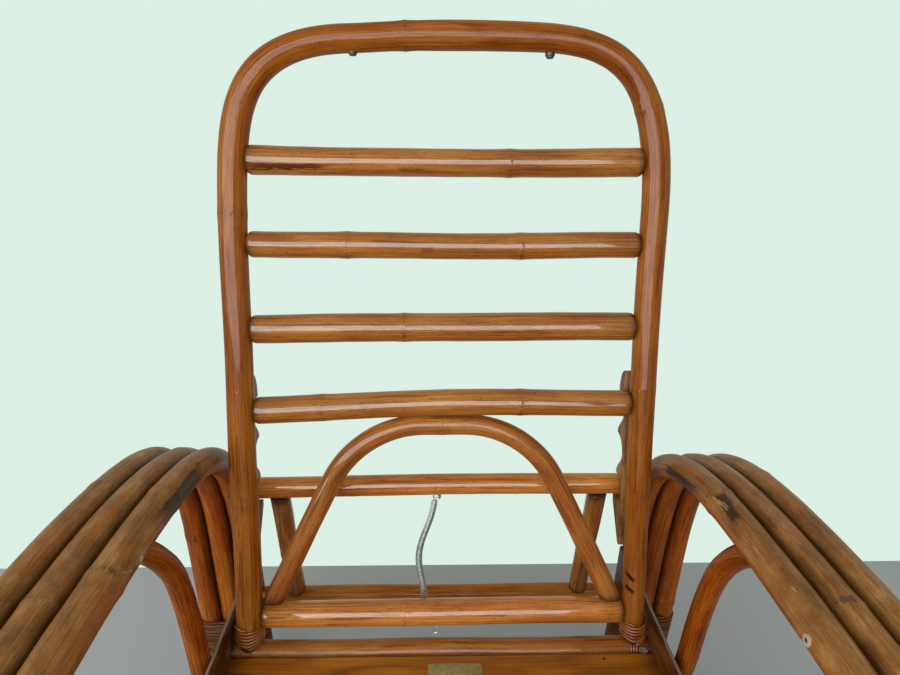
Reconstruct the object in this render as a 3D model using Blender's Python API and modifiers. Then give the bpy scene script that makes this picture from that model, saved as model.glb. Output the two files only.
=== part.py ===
"""Rattan reclining lounge chair.

Bent pole arms carry a board seat. A slatted hoop back swings on the seat's rear rail, and a
swinging prop behind it stands in the notches of two toothed racks to set the recline.
Metres, +Z up. The chair faces -Y and the origin is on the floor under its middle. Left and right
are as seen from the front, so left is -X.
"""
import math

import bmesh
import bpy
import numpy as np
from mathutils import Vector

# Clearances
FIT = 0.0003                    # between pieces that touch
RUNNING = 0.0005                # between pieces that turn in one another
WELD = 0.00001                  # points nearer than this become one
SHARP_ANGLE = math.radians(50.0)

# Arms: three poles side by side on each side of the chair
ARM_POLE = 0.034
ARM_TOP = 0.582                 # floor to the top of the arm
ARM_CROWN_Y = -0.054            # where the arm is highest
ARM_FOOT_REACH = 0.4386         # middle of the chair to the middle of each foot, front and rear
ARM_FOOT_RAKE = math.radians(13.3)
ARM_FOOT_HANDLE = 0.402         # how far up the leg its foot's straight rake leads the curve
REAR_CROWN_HANDLE = 0.5575      # how far the crown leads the curve towards the rear shoulder
FRONT_CROWN_HANDLE = 0.435      # the same towards the front shoulder
FLOOR_TRIM = 0.020              # pole left past the floor before it is sawn flat
ARM_STANDOFF = 0.0037           # side rails' inner faces to the arms; the rails' ends are scooped out

# Seat
BACK_SIDE_GAP = 0.0173          # hinge strap to the side rail
SIDE_RAIL_THICKNESS = 0.010
SIDE_RAIL_TOP = 0.301
SIDE_RAIL_BOTTOM = 0.219
DECK_TOP = 0.263
DECK_THICKNESS = 0.012
DECK_BOARDS = 4
DECK_BOARD_GAP = 0.002
DECK_SIDE_GAP = 0.001
DECK_REAR_GAP = 0.0070          # rear deck board to the hinge rail
DECK_FRONT_GAP = 0.0020
DECK_BOARD_EDGE = 0.0015
CLEAT = 0.018                   # square strip that carries the deck boards' ends
FRONT_RAIL = 0.034
FRONT_RAIL_SETBACK = 0.0936     # front feet's middle to the front rail's middle
LABEL_WIDTH = 0.070             # plain blank plate on the rear deck board
LABEL_DEPTH = 0.034
LABEL_THICKNESS = 0.0008
LABEL_X = 0.021
LABEL_REAR_MARGIN = 0.012

# Arm braces: quarter arches from the side rails up to the arms
BRACE_POLE = 0.027
BRACE_FOOT_Y = 0.186
BRACE_HEAD_Y = 0.062
BRACE_FOOT_HANDLE = 0.200
BRACE_FOOT_LEAN = math.radians(2.0)
BRACE_HEAD_HANDLE = 0.070
LEFT_BRACE_BOW = 0.0            # how far each brace stands out above the side rail
RIGHT_BRACE_BOW = 0.0065

# Back: placed in its own frame, along the back from the hinge axis and behind its middle plane
HINGE_Y = 0.237
HINGE_Z = 0.250
RECLINE = math.radians(11.8)    # lean from upright at rest
HINGE_RAIL = 0.032
HOOP_POLE = 0.0365
HOOP_WIDTH = 0.5314             # between the uprights' middles
HOOP_LENGTH = 0.811             # hinge axis to the top pole's middle
HOOP_SHOULDER_RISE = 0.160      # height of each rounded shoulder
HOOP_SHOULDER_REACH = 0.190     # and its width
HOOP_SHOULDER_SQUARE = 2.6      # 2 is an ellipse, more is squarer
HOOP_END = 0.012                # uprights' lower end above the hinge axis
RUNGS = (                       # name, distance along the back, diameter, bow
    ("back_rung_1", 0.662, 0.0337, 0.0),
    ("back_rung_2", 0.5595, 0.0320, 0.0),
    ("back_rung_3", 0.455, 0.0360, 0.0),
    ("back_rung_4", 0.350, 0.0335, 0.005),
    ("back_lower_rung", 0.058, 0.0373, 0.0),
)
RUNG_ROUNDING = 0.007           # length of a rung's rounded end
RUNG_END_SHARE = 0.62           # end face as a share of the rung's diameter
RUNG_END_STEPS = (0.0, 0.25, 0.6, 1.0)
ARCH_POLE = 0.0275
ARCH_SLANT = math.radians(25.75)
ARCH_CORNER = 0.135
PEG_DIAMETER = 0.011            # cushion pegs under the top pole
PEG_LENGTH = 0.008
PEG_EDGE = 0.0015
PEG_LEFT_INSET = 0.1562         # from the upright's middle
PEG_RIGHT_INSET = 0.1347

# Hinge straps and the cane bindings above them
STRAP_THICKNESS = 0.0023
STRAP_WIDTH = 0.012
BACK_CANE = 0.0036
BACK_TURNS = 5
BACK_TURN_STEP = 0.0042
BACK_LOOP_POINTS = 10

# Toothed racks
RACK_THICKNESS = 0.019
RACK_INSET = 0.0037             # its middle inside its upright's middle
RACK_SHIFT = -0.0055            # the pair sits a little to one side
RACK_BOTTOM = 0.145
RACK_TEETH = 3
RACK_PITCH = 0.0582
RACK_TIP_RISE = 0.0227          # tooth tip above the middle of the seated prop bar
RACK_TIP_DEPTH = 0.0478         # tooth tip behind the back's middle plane
RACK_NOTCH_DEPTH = 0.0225       # notch floor behind the back's middle plane
RACK_CROWN = 0.0270             # rounded top above the last tooth tip
RACK_CROWN_SWEEP = math.radians(60.0)
RACK_CROWN_ROUND = 0.8          # less is fuller
RACK_FRONT_SHARE = 0.8          # front edge's share of the crown's height
RACK_LEDGE_DEPTH = 0.058        # ledge under the seated prop bar
RACK_LEDGE_EDGE = 0.008
RACK_SCREW = 0.0045
RACK_SCREW_HEAD = 0.009
RACK_SCREW_HEAD_HEIGHT = 0.003
RACK_SCREW_SINK = 0.0015        # head below the upright's front
RACK_SCREW_BITE = 0.009         # point past the upright's rear
RACK_SCREW_NECK = 0.001         # shank's start inside its head
RACK_SCREW_PLACES = (0.165, 0.372)

# Swinging prop
BAR_ALONG = 0.2195              # seated prop bar along the back from the hinge axis
BAR_BEHIND = 0.0600             # and behind the back's middle plane
PROP_BAR = 0.0295
PROP_BAR_OVERHANG = 0.0163      # past the uprights' middles
PROP_BAR_EDGE = 0.003
PROP_LEG = 0.0285
PROP_LEG_LEFT_INSET = 0.0312    # its middle inside its upright's middle
PROP_LEG_RIGHT_INSET = 0.0405
AXLE_Z = 0.200
AXLE_POLE = 0.0295
JOURNAL = 0.014                 # turned-down axle end that turns in the inner strand
JOURNAL_LENGTH = 0.0135

# Spring from the prop bar to the lower rung, and its hooks
HOOK_WIRE = 0.0030
HOOK_DROP = 0.010
HOOK_LEG = 0.009
HOOK_CORNER = 0.0024
HOOK_X = -0.004
SPRING_WIRE = 0.0014
SPRING_DIAMETER = 0.0068        # to the middle of the wire
SPRING_CURLS = 24
SPRING_CURL_POINTS = 8
SPRING_BOW = 0.012              # sideways slack
SPRING_FOOT_X = -0.026          # where it reaches the lower rung
SPRING_TURN_X = -0.020          # where its wire turns under the rung
SPRING_TAIL = 0.010             # straight wire at each end
SPRING_LEAVES_RUNG = 0.012      # clear of the lower rung's rear side
SPRING_TUCK = 0.8               # share of that distance kept where the wire turns under the rung

# Cane bindings round the feet
FOOT_CANE = 0.0056
FOOT_TURNS = 13
FOOT_TURN_STEP = 0.0105
FOOT_BINDING_START = 0.016      # along the leg from the floor
FOOT_LOOP_TURNS = np.radians((-90.0, -30.0, 30.0, 90.0))

# How finely bent poles are divided
BEND_STEP = math.radians(10.0)
RUN_STEP = 0.150
CURVE_STEPS = 200               # points of a bent pole before it is thinned
POLE_SIDES = 2                  # curve bevel resolution of a pole
HOOP_SIDES = 3                  # of the back's poles
CANE_SIDES = 1                  # of cane and wire
RAIL_SIDES = 16                 # sides of a straight round bar
SADDLE_SIDES = 24
PROP_SIDES = 14
LEG_SIDES = 12
SMALL_SIDES = 8
RACK_ROUND_STEPS = 6
BOWED_RUNG_POINTS = 7

# Sizes that follow from those above
UPRIGHT_X = HOOP_WIDTH / 2
SEAT_HALF = UPRIGHT_X + STRAP_WIDTH / 2 + BACK_SIDE_GAP
RAIL_OUTER_X = SEAT_HALF + SIDE_RAIL_THICKNESS
ARM_PITCH = ARM_POLE + FIT
ARM_INNER_X = SEAT_HALF + ARM_STANDOFF + ARM_POLE / 2
ARM_CROWN_Z = ARM_TOP - ARM_POLE / 2
FRONT_RAIL_Y = FRONT_RAIL_SETBACK - ARM_FOOT_REACH
STRAP_INNER = (HINGE_RAIL / 2 + RUNNING) / math.cos(math.pi / RAIL_SIDES)
STRAP_OUTER = STRAP_INNER + STRAP_THICKNESS
ARCH_FOOT_X = UPRIGHT_X - HOOP_POLE / 2 - FIT - ARCH_POLE / 2 / math.cos(ARCH_SLANT)
RUNG_BY_NAME = {name: (along, diameter, bow) for name, along, diameter, bow in RUNGS}


def collection(name):
    """A new collection linked to the scene."""
    group = bpy.data.collections.new(name)
    bpy.context.scene.collection.children.link(group)
    return group


def clear_scene():
    """Remove every object that the file opened with."""
    for obj in list(bpy.data.objects):
        bpy.data.objects.remove(obj, do_unlink=True)


def finish(name, colour, roughness, metallic=0.0):
    """A plain Principled material."""
    material = bpy.data.materials.new(name)
    material.use_nodes = True
    shader = material.node_tree.nodes["Principled BSDF"]
    shader.inputs["Base Color"].default_value = (*colour, 1.0)
    shader.inputs["Roughness"].default_value = roughness
    shader.inputs["Metallic"].default_value = metallic
    return material


def bezier(p0, p1, p2, p3, steps):
    """Points along a cubic curve given by two ends and two handles."""
    t = np.linspace(0.0, 1.0, steps)[:, None]
    return (1 - t) ** 3 * p0 + 3 * t * (1 - t) ** 2 * p1 + 3 * t * t * (1 - t) * p2 + t ** 3 * p3


def even_bends(points):
    """Thin a dense path to points that share out its bend and its length evenly."""
    steps = np.diff(points, axis=0)
    lengths = np.linalg.norm(steps, axis=1)
    ways = steps / lengths[:, None]
    turns = np.arccos(np.clip((ways[1:] * ways[:-1]).sum(axis=1), -1.0, 1.0))
    measure = np.concatenate([[0.0], np.cumsum(lengths / RUN_STEP)])
    measure[1:-1] += np.cumsum(turns) / BEND_STEP
    measure[-1] += turns.sum() / BEND_STEP
    count = max(2, math.ceil(measure[-1]) + 1)
    wanted = np.linspace(0.0, measure[-1], count)
    return np.stack([np.interp(wanted, measure, points[:, i]) for i in range(points.shape[1])], axis=1)


def in_side_plane(x, side_points):
    """Turn (y, z) points into 3-D points at one x."""
    return [(x, y, z) for y, z in side_points]


def mesh_object(name, mesh, material, group, parent=None):
    """Put a mesh into the scene under a name."""
    obj = bpy.data.objects.new(name, mesh)
    obj.parent = parent
    mesh.materials.clear()
    mesh.materials.append(material)
    group.objects.link(obj)
    return obj


def shade_round(mesh):
    """Smooth shading, with the sawn ends left sharp."""
    mesh.shade_smooth()
    mesh.set_sharp_from_angle(angle=SHARP_ANGLE)


def curve_to_mesh(curve_object):
    """Make a curve a closed mesh with its caps welded on, and drop the curve."""
    bpy.context.view_layer.update()
    evaluated = curve_object.evaluated_get(bpy.context.evaluated_depsgraph_get())
    mesh = bpy.data.meshes.new_from_object(evaluated)
    work = bmesh.new()
    work.from_mesh(mesh)
    bmesh.ops.remove_doubles(work, verts=work.verts, dist=WELD)
    bmesh.ops.recalc_face_normals(work, faces=work.faces)
    work.to_mesh(mesh)
    work.free()
    curve = curve_object.data
    bpy.data.objects.remove(curve_object, do_unlink=True)
    bpy.data.curves.remove(curve)
    return mesh


def tube(name, points, diameter, material, group, parent=None, sides=POLE_SIDES, swell=None):
    """A round pole or wire along a path. swell scales its radius point by point."""
    curve = bpy.data.curves.new(name + "_path", "CURVE")
    curve.dimensions = "3D"
    curve.bevel_depth = diameter / 2
    curve.bevel_resolution = sides
    curve.use_fill_caps = True
    curve.twist_mode = "MINIMUM"
    spline = curve.splines.new("POLY")
    spline.points.add(len(points) - 1)
    for index, (spot, point) in enumerate(zip(spline.points, points)):
        spot.co = (*point, 1.0)
        if swell is not None:
            spot.radius = swell[index]
    holder = bpy.data.objects.new(name + "_path", curve)
    group.objects.link(holder)
    mesh = curve_to_mesh(holder)
    mesh.name = name
    shade_round(mesh)
    return mesh_object(name, mesh, material, group, parent)


def saw_flat(obj, point, outward):
    """Saw a piece off at a plane, in its own frame, and close the cut."""
    work = bmesh.new()
    work.from_mesh(obj.data)
    everything = work.verts[:] + work.edges[:] + work.faces[:]
    cut = bmesh.ops.bisect_plane(work, geom=everything, dist=WELD / 100, plane_co=point, plane_no=outward,
                                 clear_outer=True)
    rim = [piece for piece in cut["geom_cut"] if isinstance(piece, bmesh.types.BMEdge)]
    bmesh.ops.holes_fill(work, edges=rim, sides=0)
    bmesh.ops.recalc_face_normals(work, faces=work.faces)
    work.to_mesh(obj.data)
    work.free()
    shade_round(obj.data)


def box(name, low, high, material, group, parent=None, edge=0.0):
    """A board between two corners, with its edges eased."""
    work = bmesh.new()
    bmesh.ops.create_cube(work, size=1.0)
    size = Vector(high) - Vector(low)
    middle = (Vector(high) + Vector(low)) / 2
    for vert in work.verts:
        vert.co = Vector(c * s for c, s in zip(vert.co, size)) + middle
    mesh = bpy.data.meshes.new(name)
    work.to_mesh(mesh)
    work.free()
    obj = mesh_object(name, mesh, material, group, parent)
    if edge:
        bevel = obj.modifiers.new("eased_edges", "BEVEL")
        bevel.width = edge
        bevel.segments = 1
    return obj


def round_bar(name, start, end, diameter, material, group, parent=None, sides=LEG_SIDES, edge=0.0):
    """A straight round bar between two points, with its end edges eased."""
    start, end = Vector(start), Vector(end)
    work = bmesh.new()
    bmesh.ops.create_cone(work, cap_ends=True, segments=sides, radius1=diameter / 2,
                          radius2=diameter / 2, depth=(end - start).length)
    turn = Vector((0.0, 0.0, 1.0)).rotation_difference(end - start).to_matrix()
    for vert in work.verts:
        vert.co = turn @ vert.co + (start + end) / 2
    mesh = bpy.data.meshes.new(name)
    work.to_mesh(mesh)
    work.free()
    shade_round(mesh)
    obj = mesh_object(name, mesh, material, group, parent)
    if edge:
        bevel = obj.modifiers.new("eased_ends", "BEVEL")
        bevel.width = edge
        bevel.segments = 1
        bevel.limit_method = "ANGLE"
        bevel.angle_limit = SHARP_ANGLE
    return obj


def as_cutter(obj):
    """Mark a shape as one that only cuts others."""
    obj.hide_render = True
    obj.display_type = "WIRE"
    return obj


def cut_with(obj, cutter, operation="DIFFERENCE"):
    """Cut a piece with a cutter, or join a shape to it."""
    boolean = obj.modifiers.new(operation.lower(), "BOOLEAN")
    boolean.operation = operation
    boolean.object = cutter
    boolean.solver = "EXACT"


def least_gap(points, wire, skip):
    """Least gap of a wound wire to itself, between points more than skip apart along it."""
    spots = np.array(points)
    far = np.linalg.norm(spots[:, None, :] - spots[None, :, :], axis=2)
    order = np.arange(len(spots))
    far[np.abs(order[:, None] - order[None, :]) <= skip] = np.inf
    return far.min() - wire


# Arms

def arm_half(foot_y, crown_handle):
    """Half an arm seen from the side: (y, z) points from the crown to one foot on the floor."""
    way = math.copysign(1.0, foot_y - ARM_CROWN_Y)
    crown = np.array([ARM_CROWN_Y, ARM_CROWN_Z])
    foot = np.array([foot_y, 0.0])
    up_the_leg = np.array([-way * math.sin(ARM_FOOT_RAKE), math.cos(ARM_FOOT_RAKE)])
    return bezier(crown, crown + np.array([way * crown_handle, 0.0]),
                  foot + up_the_leg * ARM_FOOT_HANDLE, foot, CURVE_STEPS)


def arm_path():
    """The whole arm seen from the side, from front foot to rear foot, run on past the floor."""
    halves = []
    for foot_y, handle in ((-ARM_FOOT_REACH, FRONT_CROWN_HANDLE), (ARM_FOOT_REACH, REAR_CROWN_HANDLE)):
        half = arm_half(foot_y, handle)
        way = (half[-1] - half[-2]) / np.linalg.norm(half[-1] - half[-2])
        thinned = even_bends(half)
        halves.append(np.vstack([thinned, half[-1] + way * FLOOR_TRIM]))
    return np.vstack([halves[0][::-1], halves[1][1:]])


def leg_y_at(height):
    """Where the rear leg's middle line is at one height."""
    half = arm_half(ARM_FOOT_REACH, REAR_CROWN_HANDLE)
    return float(np.interp(height, half[::-1, 1], half[::-1, 0]))


def arm_z_at(y):
    """How high the arm's middle line is over one place between its crown and rear shoulder."""
    half = arm_half(ARM_FOOT_REACH, REAR_CROWN_HANDLE)
    rising = half[: int(half[:, 0].argmax()) + 1]
    return float(np.interp(y, rising[:, 0], rising[:, 1]))


def build_arms(rattan, parts, cutters):
    """Three poles a side, sawn flat at the floor, the inner ones drilled for the prop's axle."""
    path = arm_path()
    for side, way in (("left", -1), ("right", 1)):
        for index, strand in enumerate(("inner", "middle", "outer")):
            x = way * (ARM_INNER_X + index * ARM_PITCH)
            name = f"{side}_arm_strand_{strand}"
            pole = tube(name, in_side_plane(x, path), ARM_POLE, rattan, parts)
            saw_flat(pole, (0.0, 0.0, 0.0), (0.0, 0.0, -1.0))
            if strand == "inner":
                cut_with(pole, axle_socket(side, way, rattan, cutters))


def axle_socket(side, way, rattan, cutters):
    """The blind hole in an inner strand that the axle's journal turns in."""
    near = axle_half_length() - RUNNING
    far = axle_half_length() + JOURNAL_LENGTH + RUNNING
    wide = (JOURNAL + 2 * RUNNING) / math.cos(math.pi / RAIL_SIDES)
    y = leg_y_at(AXLE_Z)
    hole = round_bar(f"{side}_axle_socket", (way * near, y, AXLE_Z), (way * far, y, AXLE_Z), wide,
                     rattan, cutters, sides=RAIL_SIDES)
    return as_cutter(hole)


def build_braces(rattan, parts):
    """A quarter arch a side, from the side rail's outer face up under the inner strand."""
    x = RAIL_OUTER_X + FIT + BRACE_POLE / 2
    touch = ARM_POLE / 2 + BRACE_POLE / 2 + FIT
    foot = np.array([BRACE_FOOT_Y, SIDE_RAIL_BOTTOM])
    up = np.array([-math.sin(BRACE_FOOT_LEAN), math.cos(BRACE_FOOT_LEAN)]) * BRACE_FOOT_HANDLE
    rear = np.array([BRACE_HEAD_HANDLE, 0.0])
    for side, way, bow in (("left", -1, LEFT_BRACE_BOW), ("right", 1, RIGHT_BRACE_BOW)):
        under = math.sqrt(touch ** 2 - (x + bow - ARM_INNER_X) ** 2)
        head = np.array([BRACE_HEAD_Y, arm_z_at(BRACE_HEAD_Y) - under])
        arch = bezier(foot, foot + up, head + rear, head, CURVE_STEPS)
        share = np.clip((arch[:, 1] - SIDE_RAIL_BOTTOM) / (SIDE_RAIL_TOP - SIDE_RAIL_BOTTOM), 0.0, 1.0)
        across = way * (x + bow * share * share * (3.0 - 2.0 * share))
        path = even_bends(np.column_stack([across, arch]))
        tube(f"{side}_arm_brace", path, BRACE_POLE, rattan, parts)


# Seat

def build_seat(rattan, board, deck_wood, plate, parts, cutters):
    """Side rails, cleats, cross rails, deck boards and the blank plate."""
    rear_leg, front_leg = leg_y_at(SIDE_RAIL_TOP), -leg_reach_front(SIDE_RAIL_TOP)
    path = arm_path()
    for side, way in (("left", -1), ("right", 1)):
        inner, outer = sorted((way * SEAT_HALF, way * RAIL_OUTER_X))
        rail = box(f"{side}_side_rail", (inner, front_leg, SIDE_RAIL_BOTTOM),
                   (outer, rear_leg, SIDE_RAIL_TOP), board, parts)
        leg = tube(f"{side}_leg_clearance", in_side_plane(way * ARM_INNER_X, path), ARM_POLE + 2 * FIT,
                   rattan, cutters)
        cut_with(rail, as_cutter(leg))
        near, far = sorted((way * (SEAT_HALF - FIT), way * (SEAT_HALF - FIT - CLEAT)))
        top = DECK_TOP - DECK_THICKNESS - FIT
        front = FRONT_RAIL_Y + FRONT_RAIL / 2 + DECK_FRONT_GAP
        box(f"{side}_seat_cleat", (near, front, top - CLEAT), (far, deck_rear(), top), board, parts)
    for name, y, z, diameter in (("seat_hinge_rail", HINGE_Y, HINGE_Z, HINGE_RAIL),
                                 ("seat_front_rail", FRONT_RAIL_Y, DECK_TOP - FRONT_RAIL / 2, FRONT_RAIL)):
        half = SEAT_HALF - FIT
        round_bar(name, (-half, y, z), (half, y, z), diameter, rattan, parts, sides=RAIL_SIDES)
    build_deck(deck_wood, plate, parts)


def leg_reach_front(height):
    """How far forward the front leg's middle line is at one height."""
    half = arm_half(-ARM_FOOT_REACH, FRONT_CROWN_HANDLE)
    return -float(np.interp(height, half[::-1, 1], half[::-1, 0]))


def deck_rear():
    """The deck's rear edge, just ahead of the hinge rail."""
    return HINGE_Y - HINGE_RAIL / 2 - DECK_REAR_GAP


def build_deck(deck_wood, plate, parts):
    """Boards across the seat, from the hinge rail to the front rail, and the blank plate."""
    front = FRONT_RAIL_Y + FRONT_RAIL / 2 + DECK_FRONT_GAP
    step = (deck_rear() - front + DECK_BOARD_GAP) / DECK_BOARDS
    half = SEAT_HALF - DECK_SIDE_GAP
    for index in range(DECK_BOARDS):
        rear = deck_rear() - index * step
        box(f"seat_board_{index + 1}", (-half, rear - step + DECK_BOARD_GAP, DECK_TOP - DECK_THICKNESS),
            (half, rear, DECK_TOP), deck_wood, parts, edge=DECK_BOARD_EDGE)
    rear = deck_rear() - LABEL_REAR_MARGIN
    box("label_plate", (LABEL_X - LABEL_WIDTH / 2, rear - LABEL_DEPTH, DECK_TOP + FIT),
        (LABEL_X + LABEL_WIDTH / 2, rear, DECK_TOP + FIT + LABEL_THICKNESS), plate, parts)


# Back, in its own frame: x across, y behind the middle plane, z along the back from the hinge

def hoop_path():
    """One pole up, over and down: straight uprights, squarish round shoulders and a level top."""
    angle = np.linspace(0.0, math.pi / 2, CURVE_STEPS)
    power = 2.0 / HOOP_SHOULDER_SQUARE
    shoulder = np.stack(
        [UPRIGHT_X - HOOP_SHOULDER_REACH * (1.0 - np.cos(angle) ** power),
         HOOP_LENGTH - HOOP_SHOULDER_RISE * (1.0 - np.sin(angle) ** power)], axis=1)
    half = even_bends(np.vstack([[UPRIGHT_X, HOOP_END], shoulder, [0.0, HOOP_LENGTH]]))
    mirrored = half[-2::-1] * np.array([-1.0, 1.0])
    return [(x, 0.0, along) for x, along in np.vstack([half, mirrored])]


def hoop_underside_at(x, reach):
    """The lowest place of the top pole's underside within reach of one place across."""
    top = sorted((px, along) for px, _, along in hoop_path() if along > HOOP_LENGTH - HOOP_SHOULDER_RISE)
    across, along = np.array(top).T
    return float(np.interp((x - reach, x, x + reach), across, along).min()) - HOOP_POLE / 2


def hoop_inside_at(along):
    """Half the clear width between the uprights at one distance along the back."""
    right = np.array([(a, x) for x, _, a in hoop_path() if x > 0.0])
    return float(np.interp(along, right[:, 0], right[:, 1])) - HOOP_POLE / 2


def build_back_poles(rattan, parts, cutters, back):
    """The hoop with its saddles over the hinge straps, the rungs, the arch and the pegs."""
    hoop = tube("back_hoop", hoop_path(), HOOP_POLE, rattan, parts, back, sides=HOOP_SIDES)
    reach = UPRIGHT_X + HOOP_POLE
    saddle = round_bar("hoop_saddle", (-reach, 0.0, 0.0), (reach, 0.0, 0.0),
                       2 * (STRAP_OUTER + FIT) / math.cos(math.pi / SADDLE_SIDES), rattan, cutters, back,
                       sides=SADDLE_SIDES)
    cut_with(hoop, as_cutter(saddle))
    for place in RACK_SCREW_PLACES:
        for side, way in (("left", -1), ("right", 1)):
            cut_with(hoop, screw_hole(side, way, place, rattan, cutters, back))
    for name, along, diameter, bow in RUNGS:
        build_rung(name, along, diameter, bow, rattan, parts, back)
    build_arch(rattan, parts, back)


def build_rung(name, along, diameter, bow, rattan, parts, back):
    """A cross pole between the uprights with rounded ends and, on one, a slight rise."""
    half = hoop_inside_at(along + diameter / 2) - FIT
    ends = np.array(RUNG_END_STEPS) * RUNG_ROUNDING - half
    inner = np.linspace(ends[-1], -ends[-1], BOWED_RUNG_POINTS if bow else 2)
    across = np.concatenate([ends[:-1], inner, -ends[-2::-1]])
    inside = np.minimum(half - np.abs(across), RUNG_ROUNDING) / RUNG_ROUNDING
    swell = RUNG_END_SHARE + (1.0 - RUNG_END_SHARE) * np.sqrt(1.0 - (1.0 - inside) ** 2)
    rise = bow * (1.0 + np.cos(math.pi * across / half)) / 2
    points = [(x, 0.0, along + up) for x, up in zip(across, rise)]
    tube(name, points, diameter, rattan, parts, back, sides=HOOP_SIDES, swell=swell)


def build_arch(rattan, parts, back):
    """A bent pole from the lower rung up to touch the underside of the fourth rung."""
    low_along, low_diameter, _ = RUNG_BY_NAME["back_lower_rung"]
    high_along, high_diameter, high_bow = RUNG_BY_NAME["back_rung_4"]
    top = high_along + high_bow - high_diameter / 2 - ARCH_POLE / 2 - FIT
    foot = low_along + low_diameter / 2 + FIT
    sunk = foot - ARCH_POLE
    slope = math.tan(ARCH_SLANT)
    sweep = np.linspace(0.0, math.pi / 2 - ARCH_SLANT, CURVE_STEPS)
    middle_x = ARCH_FOOT_X - slope * (top - foot) - ARCH_CORNER * math.tan((math.pi / 2 - ARCH_SLANT) / 2)
    bend = np.stack([middle_x + ARCH_CORNER * np.sin(sweep),
                     top - ARCH_CORNER * (1.0 - np.cos(sweep))], axis=1)
    half = np.vstack([[0.0, top], bend, [ARCH_FOOT_X + slope * (foot - sunk), sunk]])
    half = even_bends(half)
    path = np.vstack([half[::-1] * np.array([-1.0, 1.0]), half[1:]])
    arch = tube("back_arch", [(x, 0.0, along) for x, along in path], ARCH_POLE, rattan, parts, back)
    saw_flat(arch, (0.0, 0.0, foot), (0.0, 0.0, -1.0))


def build_pegs(peg_wood, parts, back):
    """Two short pegs under the top pole that a cushion's loops hook over."""
    pegs = (("left_cushion_peg", PEG_LEFT_INSET - UPRIGHT_X),
            ("right_cushion_peg", UPRIGHT_X - PEG_RIGHT_INSET))
    for name, x in pegs:
        top = hoop_underside_at(x, PEG_DIAMETER / 2) - FIT
        round_bar(name, (x, 0.0, top - PEG_LENGTH), (x, 0.0, top), PEG_DIAMETER, peg_wood, parts, back,
                  sides=SMALL_SIDES, edge=PEG_EDGE)


def build_straps(cane, parts, back):
    """A cane strap round the hinge rail under each upright, and the binding above it."""
    for side, way in (("left", -1), ("right", 1)):
        x = way * UPRIGHT_X
        build_strap_ring(f"{side}_hinge_strap", x, cane, parts, back)
        points = back_binding_path(x)
        tube(f"{side}_back_binding", points, BACK_CANE, cane, parts, back, sides=CANE_SIDES)
        gap = least_gap(points, BACK_CANE, BACK_LOOP_POINTS // 2)
        print(f"{side}_back_binding least gap to itself: {gap * 1000:.2f} mm")


def build_strap_ring(name, x, cane, parts, back):
    """A flat ring turned about the hinge axis."""
    work = bmesh.new()
    half = STRAP_WIDTH / 2
    corners = ((STRAP_OUTER, half), (STRAP_OUTER, -half), (STRAP_INNER, -half), (STRAP_INNER, half))
    verts = [work.verts.new((radius, 0.0, across)) for radius, across in corners]
    for index in range(4):
        work.edges.new((verts[index], verts[(index + 1) % 4]))
    bmesh.ops.spin(work, geom=work.verts[:] + work.edges[:], cent=(0.0, 0.0, 0.0), axis=(0.0, 0.0, 1.0),
                   angle=2 * math.pi, steps=RAIL_SIDES, use_merge=True)
    bmesh.ops.remove_doubles(work, verts=work.verts, dist=WELD)
    bmesh.ops.recalc_face_normals(work, faces=work.faces)
    for vert in work.verts:
        vert.co = Vector((x + vert.co.z, vert.co.x, vert.co.y))
    bmesh.ops.recalc_face_normals(work, faces=work.faces)
    mesh = bpy.data.meshes.new(name)
    work.to_mesh(mesh)
    work.free()
    shade_round(mesh)
    return mesh_object(name, mesh, cane, parts, back)


def back_binding_path(x):
    """A helix of cane round an upright, from just over the hinge rail up to the lower rung."""
    radius = (HOOP_POLE / 2 + FIT + BACK_CANE / 2) / math.cos(math.pi / BACK_LOOP_POINTS)
    start = HINGE_RAIL / 2 + RUNNING + BACK_CANE / 2 + FIT
    index = np.arange(BACK_TURNS * BACK_LOOP_POINTS + 1)
    turn = 2 * math.pi * index / BACK_LOOP_POINTS
    along = start + BACK_TURN_STEP * index / BACK_LOOP_POINTS
    points = np.stack([x + radius * np.sin(turn), -radius * np.cos(turn), along], axis=1)
    return with_straight_ends(points, BACK_CANE)


def with_straight_ends(points, length):
    """Run both ends of a wound path straight on for a short length."""
    first = points[0] - points[1]
    last = points[-1] - points[-2]
    return np.vstack([points[0] + first / np.linalg.norm(first) * length, points,
                      points[-1] + last / np.linalg.norm(last) * length])


# Racks

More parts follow.
